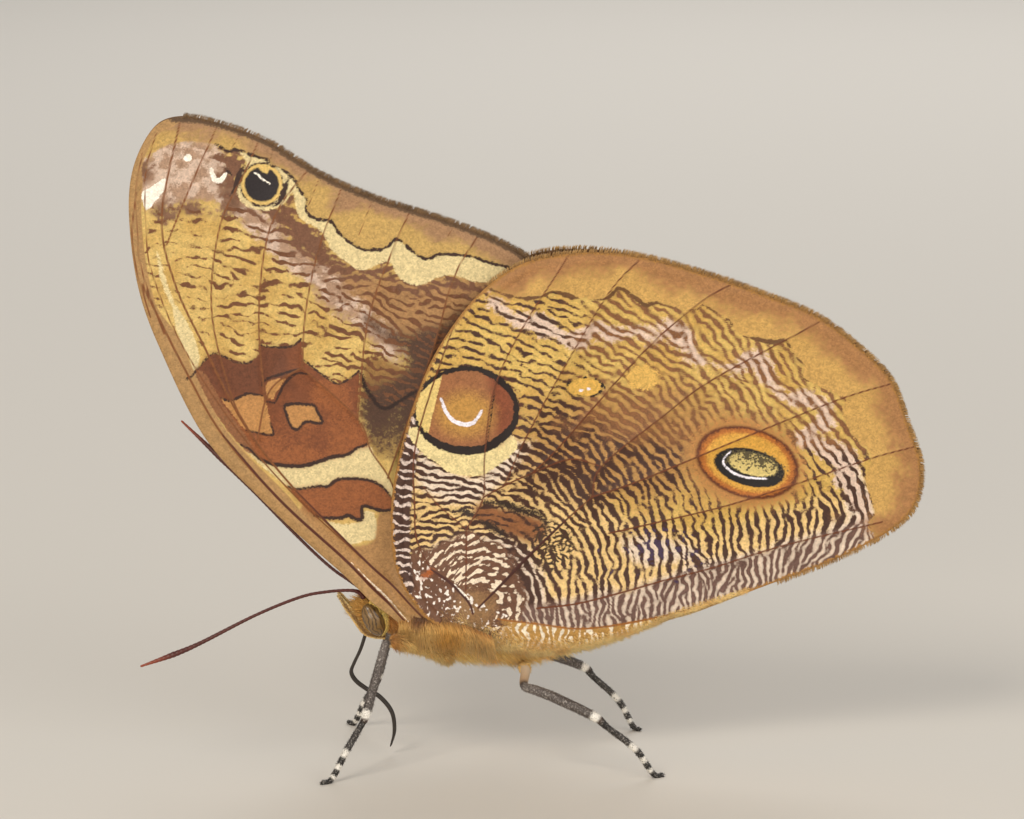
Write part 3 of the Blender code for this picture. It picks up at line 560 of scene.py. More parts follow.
def wing_scales(name, ground, layers, veil):
    """Wing scales: overlapping chitin tiles about 0.1 mm wide, matt and powdery with a faint silky sheen.
    Each pigment, painted highlight and painted sheen covers what is under it where its depth is above
    nothing, with an edge as grainy as the scales are; the veil is the plain brown of the upper side."""
    material, tree, place = substance(name, {"Roughness": 0.56, "Specular IOR Level": 0.35,
                                             "Sheen Weight": 0.12, "Sheen Roughness": 0.4})
    tile = add(tree, "TexVoronoi", {"Scale": 8500.0}, {"Vector": place}, "Color")
    single = add(tree, "SeparateColor", {}, {"Color": tile})
    clump = add(tree, "TexNoise", {"Scale": 2600.0, "Detail": 3.0}, {"Vector": place})
    cloud = add(tree, "TexNoise", {"Scale": 420.0, "Detail": 4.0}, {"Vector": place})
    fine = add(tree, "Math", {"operation": "MULTIPLY_ADD", 1: 0.55}, {0: single, 2: clump})
    blend = add(tree, "MapRange", {"From Min": 0.4, "From Max": 0.62}, {"Value": cloud})
    tone = add(tree, "Mix", {"data_type": "RGBA", "A": ground[0],
        "B": ground[1]}, {"Factor": blend}, "Result")
    covers = []
    for key, colour, soft, ragged in layers:
        depth = add(tree, "Attribute", {"attribute_name": key}, output="Fac")
        worn = add(tree, "Math", {"operation": "MULTIPLY_ADD", 1: ragged}, {0: fine, 2: depth})
        middle = 0.78 * ragged
        covers.append((add(tree, "MapRange", {"interpolation_type": "SMOOTHSTEP", "From Min": middle
            - soft / 2, "From Max": middle + soft / 2}, {"Value": worn}), colour))
    covers.append((add(tree, "Attribute", {"attribute_name": "dorsal"}, output="Fac"), veil))
    lift = add(tree, "MapRange", {"From Min": 0.4, "From Max": 1.2, "To Min": 0.74, "To Max": 1.2},
        {"Value": fine})
    shaded(tree, tone, covers, lift, (0.35, 0.00003, fine))
    return material


grid = between(FOREWING_OUTLINE, FOREWING_CORNERS, FOREWING_CELLS).reshape(-1, 2)
inks = forewing_inks(grid)
height, thickness = relief(grid, FOREWING_VEINS, FOREWING_OUTLINE, FOREWING_OUTLINE[:11])
gold_scales = wing_scales("forewing_scales", ("#D9B970", "#CAA55C"), FOREWING_LAYERS, "#6A4526")
for side, label in SIDES:
    piece = plate("forewing_" + label + "_skin", FOREWING_OUTLINE, FOREWING_CORNERS, FOREWING_CELLS,
                  clearance(grid) + SKIN_GAP, height, thickness, inks, side, gold_scales)
    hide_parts("forewing_" + label)


# Hindwings: the broader pair, folded outside the forewings. Their undersides carry fine bark-like ripples,
# a large chestnut eyespot near the front edge, a smaller one behind, and a plain gold margin.
HINDWING_OUTLINE = (
    (1.4, 0.2), (0.2, 1.3), (-0.8, 2.6), (-1.5, 4.8), (-1.6, 8.9), (-0.9, 13), (0.2, 16.8),
    (1.9, 20.8), (4.9, 25), (8.4, 27.6), (12.4, 28.4), (17, 28.1), (22, 26.8), (27.2, 25),
    (31.2, 23.3), (34.4, 20.9), (36.9, 18.3), (38.3, 14.7), (39.3, 11.6), (38.9, 8.5), (36.9, 6.4),
    (32.6, 4.1), (27.2, 2), (22.4, 0.2), (18.1, -1.2), (14.9, -2.3), (12, -2.9), (9, -2.9),
    (6.4, -2), (3.8, -0.6),
)
HINDWING_VEINS = (((4.7, 0.8), (4.36, 1.67), (3.1, 2.9), (1.5, 3.85), (0.6, 5.4), (0.25, 6.6), (0.2, 8.8),
    (0.2, 12.9), (1.5, 17.8), (3.6, 23.8)), ((4.15, 2.5), (4.2, 6.9)), ((4.2, 6.9), (2, 8.8), (0.9, 10.2)),
    ((4.2, 6.9), (5.5, 9.4), (5.6, 12.6), (6.3, 17.7), (8.3, 22.3), (12.3, 28.7)), ((5.5, 9.4), (7.1, 10.3),
    (9.2, 11.2), (12.2, 12.2), (14.6, 11.6)), ((7.1, 10.3), (8.6, 13.7), (10.9, 18.1), (15, 25.1),
    (18, 28.3)), ((9.2, 11.2), (11.4, 13.3), (17.9, 20.7), (22.3, 24.6), (25.2, 26.2)), ((5.1, 1.2),
    (8.4, 4), (12.05, 7.5), (13.9, 9.2)), ((13.9, 9.2), (14.6, 11.6), (19, 15.3), (22.9, 18.3),
    (30.1, 22.3), (32, 23.4)), ((13.9, 9.2), (17.6, 10.5), (26.1, 14.1), (33.2, 17), (37.6, 18.3)),
    ((15.2, 6.3), (19.5, 7.3), (23.6, 8.3), (26.6, 9.2), (30.5, 10.5), (35.6, 12.3), (39.4, 13.3)),
    ((9.6, 0.75), (13.8, 1.2), (22.4, 3.3), (28.7, 5.3), (36.4, 7.2)))

# Places, and the way the bars run there in degrees.
HINDWING_HEADINGS = np.array(((0, 12, -25), (-1, 5, 3), (3, 11, 0), (2.5, 5.5, 20), (4.5, 5.8, 0),
    (7, 4.5, -40), (8.5, 4, -55), (3, 8, 15), (7, 12, -15), (9, 12, -25), (12, 11, -45), (13, 9, -50),
    (15, 13, -38), (12, 14.5, -35), (11, 16, -25), (9, 17, -15), (8, 20, -15), (5, 21.5, -10), (6, 23, -25),
    (10, 24, -25), (13, 24, -25), (16, 24, -40), (14, 20, -30), (18, 22, -35), (17, 16.5, -30),
    (20, 20, -30), (22, 23, -40), (24, 20, -50), (26, 17.5, -60), (28, 20, -65), (30, 16, -55),
    (31, 17, -45), (20, 15, -50), (18, 13, -45), (17, 11, -50), (17, 9, -65), (12, 3, -75), (10, 3, -65),
    (15, 3, -88), (18, 4, -85), (18, 1.5, 85), (22, 5.5, -70), (26, 6, -85), (30, 7, -75), (33, 9, -65),
    (34, 12, -50), (20, 2, 85), (25, 3, 80), (30, 5, 72), (33, 6.5, 65), (12, -1, 88), (-1, 9, -15),
    (1, 15, -20), (22, 13, -60), (22, 10, -70), (30, 12, -60)))
MARGIN_EDGE = ((4.6, 26.2), (6.6, 25.5), (8.2, 25), (10, 25.1), (10.8, 25.5), (12.5, 25), (14.8, 24.8),
    (15.9, 25.6), (17, 24.9), (18, 24.2), (18.8, 24.4), (20.8, 23.9), (22, 24), (22.3, 24.3), (24.4, 23),
    (24.6, 22.5), (25.5, 21.8), (26.4, 21.6), (27.8, 21.3), (28.7, 21.5), (29.4, 20.3), (30.2, 19.5),
    (30, 18.7), (31.2, 17.9), (32.8, 17.2), (33.6, 17), (33.1, 16), (34, 14), (35.4, 12.5), (35, 10.5),
    (35.5, 9), (35.7, 7.8), (35.3, 7), (36.5, 5.6))
# A pale pink streak across the upper hindwing: partly real pink scales, partly painted sheen.
PINK_SHEEN_STREAK = ((6.5, 24.5), (8, 23.3), (10, 22.8), (12, 21.5), (14, 22.5), (17, 22), (20, 22.5), (21.5, 21),
    (22, 20), (24.5, 19.5), (26.5, 20), (27.5, 18), (29, 17), (31.5, 16.5), (31.5, 15), (30.5, 13.8),
    (33, 12.5), (33.5, 11.5), (33, 10.5), (34, 9.5), (35, 8), (35.2, 6.8))
BIG_EYE = (4.2, 16.2)
ROOT_AT = (4.9, 1)
TANGLE_AT = (10.9, 5.4)
HIND_BARS, FINE_BARS, TANGLE_BARS = 0.66, 0.52, 0.34


def hindwing_inks(spots):
    """One layer per pigment, and layers of painted highlight and sheen: how far each spot lies inside it, in
    millimetres.
    """
    x, z = spots.T
    ink = {}
    ragged, grain = shaken(spots, 81), mottle(spots, 0.3, 83)
    cloud = mottle(spots, 1.8, 84)
    bars = taken_at(ragged, ripples((-3, -4, 41, 30), HINDWING_HEADINGS, HIND_BARS, 11, HINDWING_VEINS, 0.2,
        6))
    fine = taken_at(ragged, ripples((-3, -4, 38, 15), HINDWING_HEADINGS, FINE_BARS, 14, HINDWING_VEINS, 0.2,
        6))
    broken = mottle(spots, 0.5, 85)
    low = area(spots, ((-3, -4), (-3, 14.6), (1, 14.4), (2.4, 11.6), (5.6, 11.4), (8.6, 13.6), (12, 12.4),
        (15.6, 9.4), (18, 7.4), (24, 6.8), (31, 9.4), (36.4, 10.2), (40, 10), (38, 3), (20, -5)))
    lower = fade(low + 0.6, 1.6)
    away = np.hypot(x - ROOT_AT[0], z - ROOT_AT[1])
    knot = np.hypot(x - TANGLE_AT[0], 0.9 * (z - TANGLE_AT[1]))
    root = fade(7.5 - away, 4.5)
    top = area(spots, (*MARGIN_EDGE, (42, 4), (42, 20), (30, 30), (12, 33), (0, 28)), 0.3)
    light = fade(x - 8, 14.0) * fade(z - 11, 6.0)
    front = ink["front"] = stroke(spots, ((-0.8, 2.6), (-1.1, 5), (-1, 9), (-0.4, 13), (0.6, 15.6)), 1.9)
    halo = oval(spots, (25.8, 11.8), (5.1, 3.8), -18)
    middle = fade(1.0 - np.hypot((x - 14.5) / 9.0, (z - 12.5) / 6.0), 0.7)
    smudge = area(spots, ((4.4, 7.8), (5.4, 8.9), (7.6, 8.5), (10.3, 7.3), (10.5, 6.4), (9.4, 5.6),
        (7.4, 6.2), (5.6, 7)))
    strip = area(spots, ((5.4, 0.2), (9.8, 1), (13.8, 1.4), (18.7, 2.4), (23.2, 3.7), (28.7, 5.3),
        (33, 6.6), (36.6, 7.3), (38, 3), (27, -1), (12, -5), (3, -3)))
    narrow = np.maximum(fade(strip, 0.3), fade(8.6 - x, 1.2) * fade(14.2 - z, 1.2))
    mixed = bars * (1 - narrow) + fine * narrow
    dark = (mixed - 0.45 + 0.4 * lower + 0.95 * root + 0.85 * middle - 0.1 * light + 0.3 * grain
        + 0.12 * cloud - 0.5 * fade(smudge, 0.8) - 0.9 * fade(halo, 1.2))
    ink["ripple"] = dark / 10
    ink["tawny"] = np.minimum(ink["ripple"] + 0.02, 1.2 * light - 0.35 + 0.1 * cloud)
    ink["deep"] = np.minimum(ink["ripple"] - 0.05 + 0.02 * cloud, 0.8)
    ink["greyed"] = np.minimum(ink["ripple"] + 0.02, 0.8 * strip)
    ink["violet"] = np.minimum(ink["ripple"],
        0.1 * (0.5 - np.hypot((x - 18.6) / 1.8, z - 5.0) + 0.5 * cloud + 0.9 * grain))
    ink["straw"] = low - 0.5 + 0.3 * cloud
    ink["tanned"] = 3.0 * (1.0 - np.hypot((x - 17.5) / 10.0, (z - 13.2) / 4.5)) + 0.3 * cloud + 0.15 * grain
    ink["pale"] = 0.15 * cloud + np.maximum.reduce([strip + 0.3, 5.6 - away, area(spots, ((0.6, 12.8),
        (0.8, 9.6), (3, 9), (5.6, 9.6), (8.6, 12.4), (9.4, 13.6), (7.6, 13.8), (5, 11), (2, 11.8))),
        area(spots, ((32.6, 12.6), (33.4, 10), (34, 6.6), (36.2, 6.6), (35.4, 9), (34.2, 11.8))),
        area(spots, ((15.6, 6.6), (19.6, 6.6), (22.8, 5.4), (22.6, 3.8), (19, 2.8), (16.6, 3.2),
        (15.2, 5))) - 0.9])
    # Along the streak: partly real pink scales, partly painted sheen.
    ink["pink_and_sheen"] = stroke(spots, PINK_SHEEN_STREAK, 1.5) + 0.3 * cloud + 0.12 * grain - 0.1
    ink["umber"] = 5.6 - away - 1.3 * fade(x - 5.5, 2.0) + 0.5 * cloud
    ink["tan_root"] = 1.7 - np.hypot(x - 4.7, z - 0.8) + 0.3 * cloud
    sweep = away * np.arctan2(z - ROOT_AT[1], x - ROOT_AT[0])
    gaps = mottle(np.stack([np.minimum(away, 9.0), np.clip(sweep, -25.0, 25.0)], 1), 0.42, 88)
    arcs = np.cos(2 * np.pi * (away + 0.13 * cloud + 0.04 * grain) / 0.55)
    ink["arcs"] = np.minimum(np.minimum(ink["umber"] - 0.3, away - 1.7),
                             (arcs - 0.5 + gaps * (0.6 + 0.7 * fade(4.4 - away, 1.5))) / 11)
    ink["arcs"] = np.where(z < 4.1 - 0.62 * (x - 1.5) - 2.0 * fade(x - 4.4, 0.5), -1.0, ink["arcs"])
    ink["dots"] = np.minimum(np.minimum(ink["umber"] - 0.3, 4.0 - 0.62 * (x - 1.5) - z),
                             (mottle(spots, 0.26, 87) - 0.95 + 0.25 * broken) / 11)
    ink["bars"] = np.minimum(front, (-bars - 0.6 + 0.3 * grain) / 12)
    ink["top"] = top + 0.03 * grain
    ring = loop_through(HINDWING_OUTLINE, 0.5)
    rim = distance_to(spots, np.vstack([ring, ring[:1]]))[0]
    ink["rim"] = np.minimum(top, 1.6 - rim + 0.35 * cloud + 0.2 * grain)
    ink["edge"] = (stroke(spots, MARGIN_EDGE, 0.16, 0.3) + 0.07 * mottle(spots, 1.6, 86) + 0.03 * grain
                   - 0.03 - 0.1 * fade(x - 29, 3.0))
    tangle = taken_at(spots, ripples((7, 2, 15, 9), HINDWING_HEADINGS + (0, 0, 30), TANGLE_BARS, 17, (),
        1.2))
    ink["maze"] = np.minimum(1.7 - knot + 0.2 * grain, (tangle - 0.1) / 14)
    ink["ripple"] = np.minimum(ink["ripple"], knot - 1.5)
    ink["halo"] = halo - 0.4
    ink["smudge"] = smudge + 0.2 * cloud
    ink["sooty"] = strokes(spots, (
        (((5.6, 9), (6.6, 8.9), (7.6, 8.6), (8.8, 8.1), (9.8, 7.9), (10.4, 7)), 0.6, 0.3, 0.4),
        (((5.3, 7.5), (6.2, 7), (7.2, 6.2)), 0.6, 0.3, 0.4),
        (((3.2, 8.3), (4.2, 8.2), (5, 7.9)), 0.5, 0.3, 0.4)))
    ink["cream"] = area(spots, ((-0.2, 14.8), (0.7, 13), (2, 12), (2.9, 11.3), (4.2, 11.1), (5.5, 11.2),
        (6.8, 12), (7.8, 12.9), (8.1, 13.8), (6.4, 15), (3, 15)))
    ink["spots"] = oval(spots, (13.3, 17.9), (1.4, 0.75), -3)
    ink["faint"] = oval(spots, (17.8, 18.6), (1.2, 1)) + 0.1 * grain
    big = ink["chestnut"] = oval(spots, BIG_EYE, (3.95, 3.4))
    ink["redder"] = np.minimum(big, x - 6.35 + 0.18 * (z - 16))
    ink["glow"] = oval(spots, (4.1, 15.9), (2.1, 1.7))
    ink["moon"] = np.minimum(big, -(x - 1.45 + 0.24 * (15.2 - z)))
    blot = ink["socket"] = oval(spots, (25.9, 11.9), (4.1, 2.75), -18)
    ink["socketglow"] = blot - 0.22
    ink["iris"] = blot - 0.55
    ink["pupil"] = oval(spots, (26.05, 11.5), (2.8, 1.45), -15)
    ink["lens"] = oval(spots, (26.35, 11.75), (1.95, 0.88), -14)
    ink["specks"] = np.minimum(ink["lens"] + 0.05, 0.35 * (z - 11.9 + 0.25 * (x - 26.3)))
    breadth = 0.18 + 0.5 * fade(15.6 - z, 2.5) + 0.2 * fade(z - 17, 2.0) + 0.2 * fade(x - 5, 2.0)
    ink["black"] = np.maximum.reduce([
        0.5 * breadth - np.abs(big + 0.1 - 0.5 * breadth) + 0.03 * grain,
        stroke(spots, ((6.5, 18.6), (6.2, 16.5), (5.7, 13)), 0.1),
        0.03 - np.abs(ink["spots"]) - 0.05 * grain,
    ])
    ink["white"] = np.maximum.reduce([stroke(spots, ((2.3, 17.1), (2.6, 16.2), (3.2, 15.4), (4.1, 15.1),
        (4.8, 15.3), (5.4, 16.2)), 0.33, 0.15, 0.6) + 0.02 * grain, stroke(spots, ((24.6, 12.8), (24, 12),
        (24.6, 11.2), (25.8, 10.7), (27.5, 10.6)), 0.2, 0.15, 0.5), oval(spots, (13, 17.65), (0.16, 0.12)),
        oval(spots, (13.6, 17.75), (0.16, 0.12))])
    ink["vein"] = strokes(spots, [(line, 0.13) for line in HINDWING_VEINS])
    forked = HINDWING_VEINS[0][:4]
    ink["stem"] = strokes(spots, ((forked, 0.22, 0.3, 0.6), (HINDWING_VEINS[7][:3], 0.26, 0.3, 0.4)))
    ink["ember"] = oval(spots, (1.2, 3.5), (0.6, 0.22), 42)
    # Painted highlight: a thin white line along the upper side of the thick vein at the base.
    ink["gleam"] = stroke(spots, np.array(forked[:3]) + (0.1, 0.1), 0.1, 0.3, 0.2) + 0.02 * grain
    hem = ((6.6, 0.2), (7.7, -0.1), (10.3, -0.5), (12.8, -0.85), (15.4, -0.7), (17.9, -0.33), (20.5, 0.05),
        (26.6, 1.7), (31, 3.4))
    below = -stroke(spots, hem, 0.0) * np.sign(np.interp(x, *np.array(hem).T) - z)
    ink["hem"] = np.minimum(below, (x - 7.0) / 3.0)
    ink["dashes"] = np.minimum(ink["hem"] - 0.1, (-fine - 0.5 + 0.5 * broken) / 12)
    ink["seam"] = stroke(spots, hem, 0.15, 0.4, 0.6)
    ink["fringe"] = 0.2 - rim
    return ink


# From the bottom up: ink, colour, softness in mm, raggedness in mm.
HINDWING_LAYERS = (("straw", "#E9C686", 2.0, 0.5), ("tanned", "#B98B50", 3.0, 0.6),
    # The pale pink streak is partly real pink scales, partly painted sheen.
    ("smudge", "#94603A", 0.9, 0.4), ("pale", "#EAD6C2", 1.0, 0.5), ("pink_and_sheen", "#E3C8B6", 0.5, 0.5),
    ("ripple", "#5A3A2A", 0.1, 0.14), ("deep", "#452A20", 0.08, 0.1), ("tawny", "#8A5C38", 0.3, 0.1),
    ("greyed", "#6E5148", 0.4, 0.1), ("violet", "#453450", 0.08, 0.1), ("umber", "#6E4A36", 0.6, 0.5),
    ("tan_root", "#94704A", 1.2, 0.6), ("arcs", "#F0DDC4", 0.06, 0.08), ("dots", "#F6ECE4", 0.06, 0.08),
    ("front", "#4B3026", 0.25, 0.15), ("bars", "#E2CEC4", 0.06, 0.06), ("maze", "#45301F", 0.06, 0.08),
    ("sooty", "#33241C", 0.4, 0.5), ("halo", "#B88248", 1.1, 0.9), ("top", "#CAA05A", 0.12, 0.3),
    ("rim", "#A8784A", 1.6, 0.9), ("edge", "#6A4828", 0.1, 0.15), ("cream", "#E8D59C", 0.1, 0.2),
    ("faint", "#DDB25E", 0.4, 0.4), ("spots", "#DEB055", 0.12, 0.1), ("chestnut", "#9C6640", 0.1, 0.05),
    ("redder", "#86492E", 1.0, 0.4), ("glow", "#BC8C45", 1.5, 0.4), ("moon", "#E4C87E", 0.1, 0.1),
    ("socket", "#5E2C16", 0.25, 0.15), ("socketglow", "#B56C2C", 0.25, 0.15),
    ("iris", "#D9A344", 0.35, 0.2), ("pupil", "#1C1718", 0.1, 0.12), ("lens", "#DEC880", 0.12, 0.15),
    ("specks", "#544A32", 0.2, 0.9), ("black", "#221614", 0.08, 0.16), ("white", "#F4EFFA", 0.08, 0.08),
    ("vein", "#67351B", 0.08, 0.03), ("ember", "#A85C2C", 0.3, 0.2), ("stem", "#47221A", 0.08, 0.05),
    ("hem", "#B98D4A", 0.3, 0.3), ("dashes", "#F1E4CE", 0.06, 0.08), ("seam", "#9A5F28", 0.08, 0.05),
    # The white gleam is a painted highlight along the vein.
    ("gleam", "#FFF6EA", 0.05, 0.05), ("fringe", "#A2743A", 0.12, 0.3))

HINDWING_CORNERS = ((1.4, 0.2), (8.4, 27.6), (36.9, 6.4), (3.8, -0.6))
HINDWING_CELLS = (296, 292)


def hindwing_offset(spots):
    """The hind pair rides 1 mm outside the fore pair, and closes to it over 6 mm behind its edge."""
    ring = loop_through(FOREWING_OUTLINE, 1.7)
    gap = np.where(inside(spots, ring), 0.0, distance_to(spots, np.vstack([ring, ring[:1]]), 7.0)[0])
    return clearance(spots) + 1.0 - fade(gap - 0.4, 6.0)


grid = between(HINDWING_OUTLINE, HINDWING_CORNERS, HINDWING_CELLS).reshape(-1, 2)
inks = hindwing_inks(grid)
height, thickness = relief(grid, HINDWING_VEINS, HINDWING_OUTLINE, HINDWING_OUTLINE[:10])
bark_scales = wing_scales("hindwing_scales", ("#DDBB69", "#D0A757"), HINDWING_LAYERS, "#6A4526")
for side, label in SIDES:
    piece = plate("hindwing_" + label + "_skin", HINDWING_OUTLINE, HINDWING_CORNERS, HINDWING_CELLS,
                  hindwing_offset(grid) + SKIN_GAP, height, thickness, inks, side, bark_scales)
    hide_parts("hindwing_" + label)


# Thorax and abdomen: one hollow shell of hard skin, the abdomen in seven overlapping rings, thickly clothed
# in golden hair that lies back towards the tail and hangs longest under the belly.
TRUNK_SPAN = (-2.7, 20)
TRUNK_CELLS = (150, 72)
COAT_DEPTH = 0.42
RING_PITCH = 1.7
BELLY_TUFTS = 18500


def trunk_skin(u, v):
    """Ellipses along the trunk's axis, inset by the coat, rounded off at both ends and nipped in at the
    abdomen's rings: u runs from neck to tail, v round from the back over the right side."""
    x = TRUNK_SPAN[0] + (TRUNK_SPAN[1] - TRUNK_SPAN[0]) * u
    axis, half_height, half_width = trunk_at(np.maximum(x, -1.7))
    nip = 1 - 0.05 * fade(x - 9, 1.5) * np.abs(np.cos(np.pi * (x - 9) / RING_PITCH))**6
    cap = np.sqrt(np.clip(1 - np.clip((TRUNK_SPAN[0] + 1.5 - x) / 1.5, 0, 1)**2, 0, 1))
    cap = cap * np.sqrt(np.clip(1 - np.clip((x - TRUNK_SPAN[1] + 1.2) / 1.2, 0, 1)**2, 0, 1))
    turn = 2 * np.pi * v
    inset = COAT_DEPTH * np.minimum(1.0, half_height / 1.6)
    return np.stack([x, (half_width - inset) * nip * cap * np.sin(turn),
                     axis + (half_height - inset) * nip * cap * np.cos(turn)], -1)


def wrapped(name, surface, cells, material):
    """A skin closed round v, with a point at each end of u; it keeps u and v as attributes."""
    rows, columns = cells
    u = np.linspace(0, 1, rows + 1)[1:-1]
    v = np.arange(columns) / columns
    gu, gv = (g.ravel() for g in np.meshgrid(u, v, indexing="ij"))
    points = np.concatenate([surface(gu, gv), surface(np.zeros(columns), v).mean(0)[None],
                             surface(np.ones(columns), v).mean(0)[None]])
    index = np.arange((rows - 1) * columns).reshape(rows - 1, columns)
    follow = np.roll(index, -1, axis=1)
    body = np.stack([index[:-1], follow[:-1], follow[1:], index[1:]], -1).reshape(-1, 4)
    first, last = len(points) - 2, len(points) - 1
    faces = body.tolist()
    faces += [(first, b, a) for a, b in zip(index[0].tolist(), follow[0].tolist())]
    faces += [(last, a, b) for a, b in zip(index[-1].tolist(), follow[-1].tolist())]
    thing = made(name, points, faces, {"along": np.append(gu, (0, 1)), "around": np.append(gv, (0, 0))},
                 material)
    work = bmesh.new()
    work.from_mesh(thing.data)
    bmesh.ops.recalc_face_normals(work, faces=work.faces)
    work.to_mesh(thing.data)
    work.free()
    return thing


def coat(name, surface, places, material, length, width, lean, seed, droop=0.25, flow=1.0, fall=0.0,
         outward=None):
    """Hair as solid tufts. Each is a three-sided spike of seven points: a foot a little under the skin, a
    waist and a tip, leaning by the share lean from the skin's normal towards flow times +u plus fall times
    down, and sagging towards the tip. On the map each tuft is a patch 0.003 across at its
    root's place on the skin's unwrap."""
    u, v = places
    draw = np.random.default_rng(seed)
    count, small = len(u), 2e-3
    root = surface(u, v)
    ahead = surface(np.clip(u + small, 0, 1), v) - surface(np.clip(u - small, 0, 1), v)
    aside = surface(u, v + small) - surface(u, v - small)
    normal = np.cross(ahead, aside)
    normal /= np.linalg.norm(normal, axis=1)[:, None] + 1e-12
    away = root - surface(u, v + 0.5) if outward is None else np.array(outward, float)
    normal *= np.sign((away * normal).sum(1))[:, None]
    lie = flow * ahead / (np.linalg.norm(ahead, axis=1)[:, None] + 1e-12)
    lie = lie + 0.35 * draw.standard_normal((count, 3)) - np.array([0, 0, fall])
    lie -= (lie * normal).sum(1)[:, None] * normal
    lie /= np.linalg.norm(lie, axis=1)[:, None] + 1e-12
    lean = np.broadcast_to(lean, count)[:, None]
    way = (1 - lean) * normal + lean * lie
    way /= np.linalg.norm(way, axis=1)[:, None]
    long = (np.broadcast_to(length, count) * draw.uniform(0.7, 1.25, count))[:, None]
    broad = (np.broadcast_to(width, count) * draw.uniform(0.75, 1.25, count))[:, None]
    across = np.cross(way, lie)
    across /= np.linalg.norm(across, axis=1)[:, None] + 1e-12
    up = np.cross(across, way)
    late = way + 0.6 * lean * lie - np.array([0, 0, droop])
    late /= np.linalg.norm(late, axis=1)[:, None]
    foot = root - 0.12 * normal
    waist = root + 0.5 * long * way
    tip = waist + 0.5 * long * late
    points = np.empty((count, 7, 3))
    for k in range(3):
        turn = 2 * np.pi * k / 3
        edge = np.cos(turn) * across + 0.6 * np.sin(turn) * up
        points[:, k] = foot + 0.5 * broad * edge
        points[:, 3 + k] = waist + 0.42 * broad * edge
    points[:, 6] = tip
    start = (np.arange(count) * 7)[:, None]
    faces = [start + np.array(f) for f in ((0, 2, 1), (3, 4, 6), (4, 5, 6), (5, 3, 6), (0, 1, 4), (0, 4, 3),
        (1, 2, 5), (1, 5, 4), (2, 0, 3), (2, 3, 5))]
    faces = np.stack(faces, 1).reshape(-1, 3)
    values = {"along": np.repeat(u, 7), "around": np.repeat(v % 1.0, 7),
              "tip": np.tile((0, 0, 0, 0.5, 0.5, 0.5, 1.0), count),
              "own": np.repeat(draw.uniform(0, 1, count), 7)}
    patch = 0.0015 * np.array([(-1, -1), (1, -1), (0, -0.6), (-0.8, 0.4), (0.8, 0.4), (0, 0.5), (0, 1)])
    uv = (np.stack([0.01 + 0.98 * u, 0.01 + 0.98 * (v % 1.0)], 1)[:, None] + patch[None]).reshape(-1, 2)
    return made(name, points.reshape(-1, 3), faces.tolist(), values, material, uv)


def spread(count, weight, seed):
    """Places (u, v) strewn evenly, kept where a random draw falls under the weight there."""
    draw = np.random.default_rng(seed)
    u, v, chance = draw.uniform(0, 1, (3, 6 * count))
    keep = np.flatnonzero(chance < weight(u, v))[:count]
    return u[keep], v[keep]


def pelt(name, root_tone, tip_tone, shade_tone, blots=(), stripe=None):
    """Insect hair: fine hollow bristles, silky along their length; the tips catch the light and the roots
    lie in the shade of their neighbours. Blots are darker or paler places: centre, reach and colour. A
    stripe is the colour of both broad sides of a flattened limb."""
    material, tree, place = substance(name, {"Roughness": 0.5, "Specular IOR Level": 0.3,
        "Sheen Weight": 0.1})
    cloud = add(tree, "TexNoise", {"Scale": 700.0, "Detail": 3.0}, {"Vector": place})
    tip = add(tree, "Attribute", {"attribute_name": "tip"}, output="Fac")
    own = add(tree, "Attribute", {"attribute_name": "own"}, output="Fac")
    tone = add(tree, "Mix", {"data_type": "RGBA", "A": root_tone, "B": tip_tone}, {"Factor": tip}, "Result")
    patchy = add(tree, "MapRange", {"From Min": 0.45, "From Max": 0.7, "To Max": 0.6}, {"Value": cloud})
    covers = [(patchy, shade_tone)]
    for centre, reach, colour in blots:
        spot = tuple((np.array(centre) + HINGE * (-1, 1, -1)) * MM)
        away = add(tree, "VectorMath", {"operation": "DISTANCE", 1: spot}, {0: place}, "Value")
        covers.append((add(tree, "MapRange", {
            "interpolation_type": "SMOOTHSTEP", "From Min": reach * MM, "From Max": 0.3 * reach * MM},
            {"Value": away}), colour))
    if stripe:
        around = add(tree, "Attribute", {"attribute_name": "around"}, output="Fac")
        angle = add(tree, "Math", {"operation": "MULTIPLY", 1: 4 * np.pi}, {0: around})
        side_on = add(tree, "Math", {"operation": "COSINE"}, {0: angle})
        share = add(tree, "MapRange", {"From Min": 0.1, "From Max": 0.8, "To Max": 0.85},
            {"Value": side_on})
        covers.append((share, stripe))
    shaded(tree, tone, covers, add(tree, "MapRange", {"To Min": 0.78, "To Max": 1.25}, {"Value": own}))
    return material


def belly_weight(u, v):
    """Hair grows thinner by circumference towards the tail."""
    x = TRUNK_SPAN[0] + (TRUNK_SPAN[1] - TRUNK_SPAN[0]) * u
    return np.clip(trunk_at(np.maximum(x, -1.7))[1] / 3.2, 0.15, 1.0)


u, v = spread(BELLY_TUFTS, belly_weight, 21)
at = trunk_skin(u, v)
low_down = fade(-0.2 - at[:, 2], 2.0)
hair_length = 0.55 + 1.05 * low_down * fade(at[:, 0] + 2, 4.0)
hair_length = hair_length * (1 - 0.35 * fade(at[:, 0] - 10, 8.0))
golden_hair = pelt("golden_body_hair", "#FAB444", "#FFE494", "#EEA640", (
    ((-1.4, 0, 0), 3.2, "#B4753C"), ((0.8, -2.4, 0.2), 1.6, "#B97A3A"), ((3.4, -2.7, 0.4), 1.5, "#B8865A"),
    ((9.5, -2, -0.6), 3.0, "#F0BC5C")))
trunk = wrapped("trunk_skin", trunk_skin, TRUNK_CELLS, golden_hair)
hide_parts("thorax", "abdomen")
fur = coat("trunk_fur", trunk_skin, (u, v), golden_hair, hair_length, 0.07, 0.72 - 0.12 * low_down, 22,
           fall=0.25)

